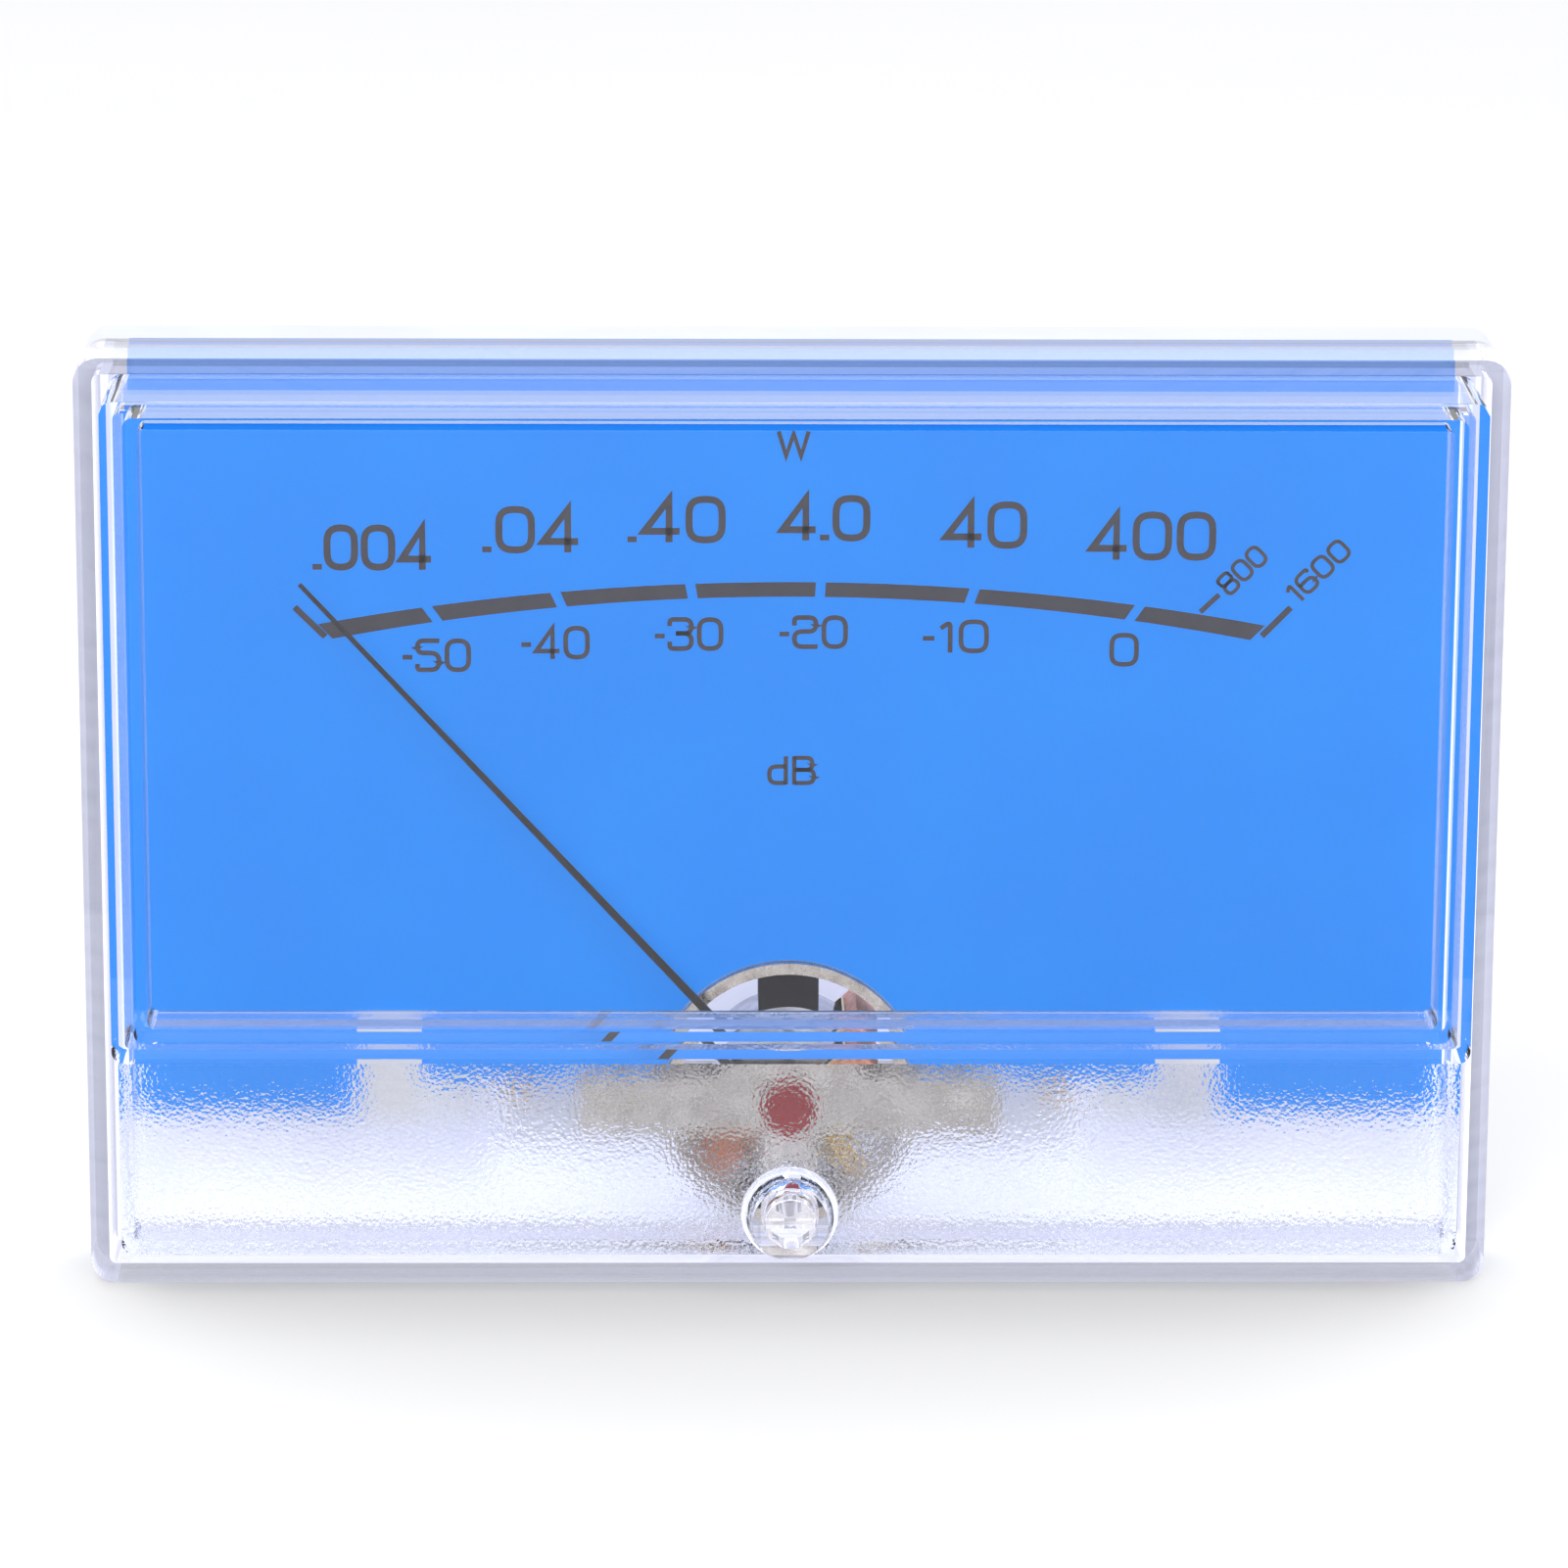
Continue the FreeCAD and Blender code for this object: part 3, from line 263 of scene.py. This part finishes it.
def let_lamps_through(m):
    """Makes the clear piece cast a faint shadow in place of a full one."""
    through = m.node("ShaderNodeBsdfTransparent")
    through.inputs["Color"].default_value = PASSED_LIGHT
    path = m.node("ShaderNodeLightPath")
    mixed = m.node("ShaderNodeMixShader")
    m.join(path.outputs["Is Shadow Ray"], mixed.inputs["Fac"])
    m.join(m.shader.outputs["BSDF"], mixed.inputs[1])
    m.join(through.outputs["BSDF"], mixed.inputs[2])
    m.join(mixed.outputs["Shader"], m.output.inputs["Surface"])


def clear_plastic(name, is_cover):
    """Clear acrylic with a faint painted glow that lightens it. On the cover only the skirt has the painted
    glow, and the band is frosted.
    """
    m = Shading(name)
    # The emission colour is a painted glow that lightens the clear plastic.
    m.set(Transmission_Weight=1.0, IOR=1.49, Base_Color=CLEAR_TINT, Emission_Color=linear(233, 234, 252))
    gloss = m.spread(m.noise(2.4, 2.0, (1, 1, 3)), 0.0, 0.004)
    normal = m.bump(m.noise(6.0, 1.0), 0.0005)
    if is_cover:
        gloss, normal = pebble(m, gloss, normal)
        # Painted glow on the skirt only.
        skirt = m.math("SUBTRACT", 1.0, m.inside(INSIDE_SKIRT))
        m.join(m.math("MULTIPLY", skirt, 0.15), m.shader.inputs["Emission Strength"])
    else:
        # Painted glow on the screw.
        m.set(Emission_Strength=0.16)
    m.join(gloss, m.shader.inputs["Roughness"])
    m.join(normal, m.shader.inputs["Normal"])
    let_lamps_through(m)
    return m.material


def dial_film(name):
    """Blue film with a painted glow for the light from behind it, even but for faint clouding."""
    m = Shading(name)
    m.tint(m.ramp(m.noise(22.0), [(0.3, linear(0, 138, 245)), (0.7, linear(0, 144, 249))]))
    # Painted glow standing in for the backlight through the film.
    m.set(Emission_Strength=0.5)
    m.finish(rough=(0.36, 0.46), patch=1.5, depth=0.002, grain=0.2, detail=2.0)
    return m.material


def lit_plastic(name, colour, strength):
    """White plastic that lets lamp light through, shown as a glow: the lamps' own light, and on the diffuser
    a painted glow for the light passing through.
    """
    m = Shading(name)
    m.tint(m.ramp(m.noise(14.0), [(0.3, colour), (0.7, WHITE)]))
    # Painted glow on the diffuser; on the lamp body, the lamp's own light.
    m.set(Emission_Strength=strength, Subsurface_Weight=0.15)
    m.shader.inputs["Subsurface Radius"].default_value = (1.5 * MM, 1.5 * MM, 1.7 * MM)
    m.finish(rough=(0.38, 0.5), patch=0.4, depth=0.01, grain=0.3)
    return m.material


def base_plastic(name):
    """White moulding with a painted glow inside, standing in for the lamps' light there, and blue along its
    upper rim.
    """
    m = Shading(name)
    tone = m.math("ADD", m.inside(BASE_RIM), m.math("MULTIPLY", m.noise(14.0), 0.4))
    whites = [(0.1, linear(214, 217, 232)), (0.3, linear(224, 227, 240))]
    blues = [(0.9, linear(20, 140, 248)), (1.0, linear(24, 146, 252))]
    m.tint(m.ramp(tone, whites + blues))
    hollow = m.math("MAXIMUM", m.inside(BASE_HOLLOW), m.inside(HUMP_HOLLOW))
    # Painted glow inside the base, standing in for the lamps' light there.
    m.join(m.math("MULTIPLY", hollow, 0.6), m.shader.inputs["Emission Strength"])
    m.finish(rough=(0.4, 0.52), patch=0.4, depth=0.01, grain=0.3)
    return m.material


def wire_wound(name, pitch=0.16):
    """Fine copper wire laid side by side round the coil, pitch millimetres apart."""
    m = Shading(name)
    m.set(Metallic=0.55)
    turns = m.math("SINE", m.math("MULTIPLY", m.along("X"), 2 * math.pi / (pitch * MM)))
    copper = m.ramp(m.noise(0.8), [(0.3, linear(208, 122, 92)), (0.7, linear(242, 172, 140))])
    m.join(copper, m.shader.inputs["Base Color"])
    m.join(m.spread(m.noise(0.5), 0.3, 0.46), m.shader.inputs["Roughness"])
    m.join(m.bump(turns, 0.012), m.shader.inputs["Normal"])
    return m.material


def frame_moulding(name):
    """White frame whose two blocks inside the ring are black, with a painted glow that lightens it in the
    shade inside the meter.
    """
    m = Shading(name)
    plate = m.math("GREATER_THAN", m.along("Y"), FRAME_BLOCKS_BACK * MM)
    tone = m.math("ADD", m.math("MULTIPLY", plate, 0.8), m.math("MULTIPLY", m.noise(2.0), 0.1))
    blacks = [(0.02, linear(22, 22, 25)), (0.1, linear(30, 30, 34))]
    whites = [(0.82, linear(226, 226, 228)), (0.9, linear(236, 236, 240))]
    m.tint(m.ramp(tone, blacks + whites))
    # Painted glow that lightens the frame in the shade inside the meter.
    m.set(Emission_Strength=0.42, Specular_IOR_Level=0.1)
    m.finish(rough=(0.42, 0.56), patch=0.3, depth=0.012, grain=0.25)
    return m.material


# Worked surfaces: dark and light screen colour, metallic, roughness, grain and its depth, and its stretch
NICKEL = ((176, 170, 162), (214, 209, 200))
BRASS = ((186, 150, 84), (224, 192, 126))
EVEN = (1, 1, 1)
WORKED = {
    "board": ((24, 66, 44), (34, 86, 58), 0.0, (0.35, 0.5), 0.3, 0.01, EVEN),
    "tinned": ((184, 184, 182), (214, 214, 210), 1.0, (0.18, 0.34), 0.4, 0.006, EVEN),
    "ring_nickel": ((168, 158, 146), (206, 198, 186), 1.0, (0.2, 0.4), 0.18, 0.012, EVEN),
    "core_ground": ((158, 160, 164), (196, 198, 202), 1.0, (0.12, 0.26), 0.3, 0.004, (1, 6, 1)),
    "strip_nickel": (*NICKEL, 1.0, (0.22, 0.38), 0.2, 0.005, (6, 1, 1)),
    "screw_nickel": (*NICKEL, 1.0, (0.18, 0.3), 0.3, 0.004, EVEN),
    "red_lacquer": ((186, 20, 34), (214, 34, 46), 0.0, (0.14, 0.24), 0.5, 0.006, EVEN),
    "turned_brass": (*BRASS, 1.0, (0.16, 0.32), 0.3, 0.004, EVEN),
    "bronze_spring": ((176, 122, 74), (212, 160, 106), 1.0, (0.2, 0.34), 0.3, 0.003, EVEN),
    "former_sheet": ((196, 182, 140), (222, 208, 164), 1.0, (0.16, 0.3), 0.25, 0.004, EVEN),
    "pivot_steel": ((150, 150, 154), (186, 186, 190), 1.0, (0.1, 0.2), 0.2, 0.002, EVEN),
    "pointer_black": ((20, 20, 23), (32, 32, 36), 0.3, (0.3, 0.42), 0.3, 0.002, EVEN),
    "dial_ink": ((62, 60, 68), (72, 70, 78), 0.0, (0.42, 0.55), 0.3, 0.002, EVEN),
}
MATERIALS = {
    "clear_cover": clear_plastic("clear_cover", True),
    "clear_screw": clear_plastic("clear_screw", False),
    "blue_film": dial_film("blue_film"),
    # The diffuser's glow is painted light passing through from the lamps.
    "diffuser_white": lit_plastic("diffuser_white", linear(226, 230, 246), 0.3),
    "base_white": base_plastic("base_white"),
    "lamp_body": lit_plastic("lamp_body", linear(236, 242, 255), 1.5),
    "frame_moulding": frame_moulding("frame_moulding"),
    "copper_winding": wire_wound("copper_winding"),
}
for finish_name, finish_values in WORKED.items():
    MATERIALS[finish_name] = worked(finish_name, *finish_values)
NODES_OF_MATERIAL = {
    "clear_cover": ("front_cover",),
    "clear_screw": ("zero_screw",),
    "blue_film": ("dial_plate",),
    "diffuser_white": ("light_diffuser",),
    "base_white": ("rear_base",),
    "lamp_body": ("lamps",),
    "board": ("lamp_board",),
    "tinned": ("lamp_pins", "terminal_tags"),
    "frame_moulding": ("movement_frame",),
    "ring_nickel": ("yoke_ring",),
    "core_ground": ("core_magnet",),
    "strip_nickel": ("front_bridge", "rear_bridge", "zero_lever"),
    "screw_nickel": ("bridge_screws", "terminal_washers"),
    "red_lacquer": ("front_jewel_screw",),
    "turned_brass": (
        "rear_jewel_screw", "bridge_pillars", "frame_posts", "frame_screws",
        "terminal_studs", "terminal_nuts", "pointer_hub", "balance_weights",
    ),
    "bronze_spring": ("front_hairspring", "rear_hairspring"),
    "copper_winding": ("coil_winding",),
    "former_sheet": ("coil_former",),
    "pivot_steel": ("front_pivot", "rear_pivot"),
    "pointer_black": ("pointer",),
}


def dress_nodes():
    """Gives every solid its material."""
    for material_name, names in NODES_OF_MATERIAL.items():
        for name in names:
            for slot in nodes[name].material_slots:
                slot.material = MATERIALS[material_name]


# Dial print
def flat_piece(name, groups, material):
    """Thin printed shapes on the dial. Each group is a list of quads of (x, z) corners in millimetres."""
    front = (DIAL_FRONT - PRINT_DEPTH) * MM
    back = (DIAL_FRONT + PRINT_DEPTH) * MM
    points, faces = [], []
    for quads in groups:
        for corners in quads:
            start = len(points)
            points += [(x * MM, front, z * MM) for x, z in corners]
            points += [(x * MM, back, z * MM) for x, z in corners]
            count = len(corners)
            faces.append([start + i for i in range(count)])
            faces.append([start + count + i for i in reversed(range(count))])
            for i in range(count):
                j = (i + 1) % count
                faces.append([start + j, start + i, start + count + i, start + count + j])
    mesh = bpy.data.meshes.new(name)
    mesh.from_pydata(points, [], faces)
    mesh.materials.append(material)
    mesh.validate()
    piece = bpy.data.objects.new(name, mesh)
    bpy.context.scene.collection.objects.link(piece)
    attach(piece, "meter")


MITRE_LIMIT = 0.35
BEND_STEPS = 5


def rounded(points, radius, closed=False):
    """The same run of points with its corners rounded, but for the ends of an open run."""
    count = len(points)
    made = []
    for index, point in enumerate(points):
        if not closed and index in (0, count - 1):
            made.append(Vector(point))
            continue
        corner = Vector(point)
        before = Vector(points[index - 1]) - corner
        after = Vector(points[(index + 1) % count]) - corner
        reach = min(radius, before.length / 2, after.length / 2)
        first = corner + before.normalized() * reach
        last = corner + after.normalized() * reach
        for step in range(BEND_STEPS + 1):
            t = step / BEND_STEPS
            made.append(first * (1 - t) ** 2 + corner * 2 * t * (1 - t) + last * t ** 2)
    return made


def ribbon(points, width, closed=False):
    """Quads of a line of even width through the points, with mitred joins."""
    count = len(points)
    sides = []
    for index, point in enumerate(points):
        if closed or 0 < index < count - 1:
            inward = (point - points[index - 1]).normalized()
            outward = (points[(index + 1) % count] - point).normalized()
        elif index == 0:
            inward = outward = (points[1] - point).normalized()
        else:
            inward = outward = (point - points[index - 1]).normalized()
        along = (inward + outward).normalized()
        across = Vector((-along.y, along.x))
        stretch = width / 2 / max(MITRE_LIMIT, across.dot(Vector((-inward.y, inward.x))))
        sides.append((point + across * stretch, point - across * stretch))
    quads = []
    for index in range(count if closed else count - 1):
        a, b = sides[index], sides[(index + 1) % count]
        quads.append([tuple(a[0]), tuple(a[1]), tuple(b[1]), tuple(b[0])])
    return quads


# Strokes of the figures on a box one high and WIDE wide, each with whether it is closed
WIDE = 0.86
EDGE = 0.055
LEFT, RIGHT, LOW, HIGH, MID = EDGE, WIDE - EDGE, EDGE, 1 - EDGE, 0.52
LOW_SHELF = MID + 0.04
HIGH_SHELF = MID + 0.05
INNER = WIDE * 0.3
STEM = WIDE * 0.72
ROUND_FIGURES = {
    "0": [([(LEFT, LOW), (RIGHT, LOW), (RIGHT, HIGH), (LEFT, HIGH)], True)],
    "1": [([(0.06, 0.74), (0.34, HIGH), (0.34, 0)], False)],
    "2": [([(LEFT, 0.7), (LEFT, HIGH), (RIGHT, HIGH), (RIGHT, MID),
            (LEFT, MID), (LEFT, LOW), (WIDE, LOW)], False)],
    "3": [([(LEFT, 0.74), (LEFT, HIGH), (RIGHT, HIGH), (RIGHT, MID), (INNER, MID)], False),
          ([(INNER, MID), (RIGHT, MID), (RIGHT, LOW), (LEFT, LOW), (LEFT, 0.27)], False)],
    "5": [([(WIDE * 0.95, HIGH), (LEFT, HIGH), (LEFT, HIGH_SHELF), (RIGHT, HIGH_SHELF),
            (RIGHT, LOW), (LEFT, LOW), (LEFT, 0.24)], False)],
    "6": [([(RIGHT, 0.78), (RIGHT, HIGH), (LEFT, HIGH), (LEFT, LOW),
            (RIGHT, LOW), (RIGHT, LOW_SHELF), (LEFT, LOW_SHELF)], False)],
    "8": [([(LEFT, MID), (RIGHT, MID), (RIGHT, HIGH), (LEFT, HIGH)], True),
          ([(LEFT, LOW), (RIGHT, LOW), (RIGHT, MID), (LEFT, MID)], True)],
}
ROUND_LETTERS = {
    "d": [([(0.62, 1.0), (0.62, 0.0)], False),
          ([(0.62, LOW), (LEFT, LOW), (LEFT, 0.64), (0.62, 0.64)], False)],
    "B": [([(LEFT, HIGH), (0.68, HIGH), (0.68, MID), (LEFT, MID)], False),
          ([(LEFT, MID), (0.74, MID), (0.74, LOW), (LEFT, LOW)], False),
          ([(LEFT, 0.0), (LEFT, 1.0)], False)],
}
SHARP_SIGNS = {
    "4": [([(STEM, 0), (STEM, HIGH), (LEFT, 0.24), (WIDE, 0.24)], False)],
    "-": [([(0.02, 0.44), (0.36, 0.44)], False)],
    ".": [([(0.06, 0.0), (0.06, 0.13)], False)],
    "W": [([(0.0, 1.0), (0.26, 0.0), (0.52, 0.9), (0.78, 0.0), (1.04, 1.0)], False)],
}
BENDS = ((0.3, ROUND_FIGURES), (0.25, ROUND_LETTERS), (0.0, SHARP_SIGNS))
FIGURE_GAP = 0.16
NARROW_GAP = 0.1
ADVANCE = {"-": 0.48, ".": 0.28, "1": 0.6, "W": 1.2, "d": 0.85, "B": 0.9}
POINT_WEIGHT = 1.3


def strokes_of(letter):
    """How far the corners of a letter are bent, and its strokes."""
    return next((bend, strokes[letter]) for bend, strokes in BENDS if letter in strokes)


def figures(text, centre, height, width, weight, turn):
    """Quads of a run of figures centred on a point. Its letters are spread to the given width."""
    pens, cursor = [], 0.0
    for letter in text:
        pens.append(cursor)
        cursor += ADVANCE.get(letter, WIDE + FIGURE_GAP)
    natural = cursor - (NARROW_GAP if text[-1] in ADVANCE else FIGURE_GAP)
    squeeze = width / (natural * height)
    quads = []
    for letter, pen in zip(text, pens):
        line_width = weight * (POINT_WEIGHT if letter == "." else 1.0)
        bend, strokes = strokes_of(letter)
        for points, closed in strokes:
            across = [(pen + x) * squeeze * height - width / 2 for x, z in points]
            upward = [(z - 0.5) * height for x, z in points]
            placed = [Vector(point) for point in zip(across, upward)]
            if bend:
                placed = rounded(placed, bend * height, closed)
            quads += ribbon(placed, line_width, closed)
    cosine, sine = math.cos(math.radians(turn)), math.sin(math.radians(turn))
    return [
        [(centre[0] + x * cosine - z * sine, centre[1] + x * sine + z * cosine) for x, z in quad]
        for quad in quads
    ]


# Scale band
BAND_TOP_CENTRE = 67.38
BAND_RADIUS = 245.0
BAND_HEIGHT = 1.42
BAND_STEPS = 10
GAPS_AT = (-34.55, -22.35, -9.55, 2.87, 17.5, 33.25)
GAP_WIDTH = 0.95
BAND_ENDS = (-44.9, 45.2)


def band_top(x):
    """Height of the scale band's upper edge at x."""
    return BAND_TOP_CENTRE - (BAND_RADIUS - math.sqrt(BAND_RADIUS ** 2 - x ** 2))


def slanted(x, drop):
    """The point at x on the band's upper edge, moved down by drop along the line to the pivot."""
    top = Vector((x, band_top(x)))
    towards = (Vector((0, PIVOT_HEIGHT)) - top).normalized()
    return tuple(top + towards * (drop / -towards.y))


def scale_band():
    """The thick curved scale line in seven pieces."""
    quads = []
    edges = [BAND_ENDS[0]]
    for gap in GAPS_AT:
        edges += [gap - GAP_WIDTH / 2, gap + GAP_WIDTH / 2]
    edges.append(BAND_ENDS[1])
    for left, right in zip(edges[::2], edges[1::2]):
        for step in range(BAND_STEPS):
            x0 = left + (right - left) * step / BAND_STEPS
            x1 = left + (right - left) * (step + 1) / BAND_STEPS
            quads.append([slanted(x0, 0), slanted(x0, BAND_HEIGHT), slanted(x1, BAND_HEIGHT), slanted(x1, 0)])
    return quads


# Ticks: start, end and width
TICKS = (
    ((-47.1, 64.9), (-44.2, 62.0), 0.62),
    ((44.9, 62.15), (47.6, 64.95), 0.62),
    ((39.0, 64.5), (40.75, 66.2), 0.5),
)

# Runs of print: text, centre, height and width
UPPER_FIGURES = (
    (".004", (-39.6, 70.7), 4.3, 11.0), (".04", (-24.6, 72.45), 4.4, 8.9), (".40", (-10.8, 73.45), 4.4, 9.0),
    ("4.0", (3.2, 73.6), 4.3, 8.4), ("40", (18.4, 72.95), 4.4, 7.8), ("400", (34.3, 71.9), 4.6, 11.9),
)
LOWER_FIGURES = (
    ("-50", (-33.7, 60.2), 3.2, 6.5), ("-40", (-22.4, 61.45), 3.2, 6.5), ("-30", (-9.7, 62.3), 3.2, 6.5),
    ("-20", (2.15, 62.5), 3.2, 6.5), ("-10", (15.7, 62.1), 3.2, 6.3), ("0", (31.8, 60.8), 3.2, 2.7),
)
TURNED_FIGURES = (("800", (42.9, 68.6), 2.15, 5.2), ("1600", (50.1, 68.5), 2.15, 7.2))
UNIT_MARKS = (("W", (0.3, 80.8), 2.4, 3.0), ("dB", (0.2, 48.9), 2.8, 4.6))

# Pieces of print: name, weight of the line, turn in degrees and runs
PRINT = (
    ("upper_figures", 0.68, 0, UPPER_FIGURES), ("lower_figures", 0.46, 0, LOWER_FIGURES),
    ("turned_figures", 0.36, 45, TURNED_FIGURES), ("unit_marks", 0.42, 0, UNIT_MARKS),
)


def dial_print():
    """All the dark print on the dial."""
    ink = MATERIALS["dial_ink"]
    flat_piece("scale_band", [scale_band()], ink)
    ticks = [ribbon([Vector(start), Vector(end)], width) for start, end, width in TICKS]
    flat_piece("scale_ticks", ticks, ink)
    for name, weight, turn, runs in PRINT:
        flat_piece(name, [figures(text, at, high, wide, weight, turn) for text, at, high, wide in runs], ink)


# Dial film
OPENING_RADIUS = 13.0
ARC_STEPS = 72
FILM_BACK = 0.9
FILM_HALF = 63.0
FILM_TOP = 87.1
EAR_INNER = 42.0
EAR_FLOOR = 15.0
FILM_FLOOR = 18.2
TONGUE_HALF = 21.2
TONGUE_FLOOR = 19.7
FILM_LEFT = (
    (-FILM_HALF, EAR_FLOOR), (-EAR_INNER, EAR_FLOOR), (-EAR_INNER, FILM_FLOOR),
    (-TONGUE_HALF, FILM_FLOOR), (-TONGUE_HALF, TONGUE_FLOOR),
)


def film_outline():
    """Corners of the film, with the opening's arc over the movement between its two lower halves."""
    rise = TONGUE_FLOOR - PIVOT_HEIGHT
    reach = math.sqrt(OPENING_RADIUS ** 2 - rise ** 2)
    start, end = math.atan2(rise, -reach), math.atan2(rise, reach)
    arc = []
    for step in range(ARC_STEPS + 1):
        angle = start + (end - start) * step / ARC_STEPS
        arc.append((OPENING_RADIUS * math.cos(angle), PIVOT_HEIGHT + OPENING_RADIUS * math.sin(angle)))
    right = [(-x, z) for x, z in reversed(FILM_LEFT)]
    return [*FILM_LEFT, *arc, *right, (FILM_HALF, FILM_TOP), (-FILM_HALF, FILM_TOP)]


def dial_face():
    """The dial film, open round the movement's ring."""
    data = bpy.data.curves.new("dial_face", "CURVE")
    data.dimensions = "2D"
    data.fill_mode = "BOTH"
    data.extrude = (FILM_BACK - DIAL_FRONT) / 2 * MM
    outline = film_outline()
    spline = data.splines.new("POLY")
    spline.points.add(len(outline) - 1)
    for point, (x, z) in zip(spline.points, outline):
        point.co = (x * MM, z * MM, 0, 1)
    spline.use_cyclic_u = True
    shaped = bpy.data.objects.new("dial_face", data)
    mesh = bpy.data.meshes.new_from_object(shaped)
    bpy.data.objects.remove(shaped)
    middle = (DIAL_FRONT + FILM_BACK) / 2 * MM
    mesh.transform(Matrix(((1, 0, 0, 0), (0, 0, -1, middle), (0, 1, 0, 0), (0, 0, 0, 1))))
    mesh.materials.clear()
    mesh.materials.append(MATERIALS["blue_film"])
    face = bpy.data.objects.new("dial_face", mesh)
    bpy.context.scene.collection.objects.link(face)
    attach(face, "meter")
    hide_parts("dial_plate")


# Edges
EDGE_ROUNDING = 0.18
WELD_REACH = 0.01
SHARP_ANGLE = 40


def soften(name):
    """Rounds the moulding's sharp edges a little, so that they catch the light."""
    node = nodes[name]
    weld = node.modifiers.new("weld", "WELD")
    weld.merge_threshold = WELD_REACH * MM
    bevel = node.modifiers.new("bevel", "BEVEL")
    bevel.width = EDGE_ROUNDING * MM
    bevel.segments = 2
    bevel.limit_method = "ANGLE"
    bevel.angle_limit = math.radians(SHARP_ANGLE)
    bevel.harden_normals = True


# Surroundings, in metres
FLOOR_HALF = 4.0
CARD_HALF = 0.13
CARD_NEAR, CARD_FAR = -0.52, -0.13
CARD_HEIGHT = 0.002
LAMP_TARGET = (0, 0, 0.05)
LAMPS = (
    ("key", (-0.5, -0.9, 0.9), 0.8, 9.0),
    ("fill", (0.7, -0.8, 0.6), 0.7, 5.0),
)


def sheet(name, half, near, far, height, shades, patch, rough):
    """Level sheet about the middle line, with patches of two shades, patch millimetres across."""
    mesh = bpy.data.meshes.new(name)
    corners = [(-half, near, height), (half, near, height), (half, far, height), (-half, far, height)]
    mesh.from_pydata(corners, [], [[0, 1, 2, 3]])
    m = Shading(name)
    m.join(m.ramp(m.noise(patch), [(0.3, shades[0]), (0.7, shades[1])]), m.shader.inputs["Base Color"])
    m.set(Roughness=rough)
    mesh.materials.append(m.material)
    made = bpy.data.objects.new(name, mesh)
    bpy.context.scene.collection.objects.link(made)
    return made


def add_floor():
    """Wide pale floor."""
    shades = ((0.9, 0.9, 0.905, 1), (0.92, 0.92, 0.925, 1))
    sheet("floor", FLOOR_HALF, -FLOOR_HALF, FLOOR_HALF, 0, shades, 300.0, 0.9)


def add_dark_card():
    """Dark card low in front, seen in reflections only, so that the clear cover doesn't look hazy."""
    shades = ((0.05, 0.05, 0.055, 1), (0.06, 0.06, 0.065, 1))
    card = sheet("dark_card", CARD_HALF, CARD_NEAR, CARD_FAR, CARD_HEIGHT, shades, 60.0, 0.5)
    card.visible_camera = False
    card.visible_diffuse = False
    card.visible_transmission = False
    card.visible_shadow = False


def add_lamp(name, place, size, power):
    """Square soft lamp that points at the meter."""
    data = bpy.data.lights.new(name, "AREA")
    data.shape = "RECTANGLE"
    data.size = data.size_y = size
    data.energy = power
    lamp = bpy.data.objects.new(name, data)
    lamp.location = place
    lamp.rotation_euler = (Vector(LAMP_TARGET) - Vector(place)).to_track_quat("-Z", "Y").to_euler()
    bpy.context.scene.collection.objects.link(lamp)


def add_light():
    """Even white surroundings with two large soft lamps."""
    scene = bpy.context.scene
    world = bpy.data.worlds.new("studio")
    world.use_nodes = True
    background = world.node_tree.nodes["Background"]
    background.inputs["Color"].default_value = (0.98, 0.985, 1.0, 1)
    background.inputs["Strength"].default_value = 0.95
    scene.world = world
    for lamp in LAMPS:
        add_lamp(*lamp)
    scene.view_settings.view_transform = "Standard"
    scene.cycles.max_bounces = 18
    scene.cycles.transmission_bounces = 16
    scene.cycles.transparent_max_bounces = 24
    scene.cycles.glossy_bounces = 4
    scene.cycles.diffuse_bounces = 3
    scene.cycles.caustics_refractive = False
    scene.cycles.caustics_reflective = False
    scene.cycles.use_denoising = True


add_camera()
dress_nodes()
dial_face()
dial_print()
soften("front_cover")
add_floor()
add_dark_card()
add_light()
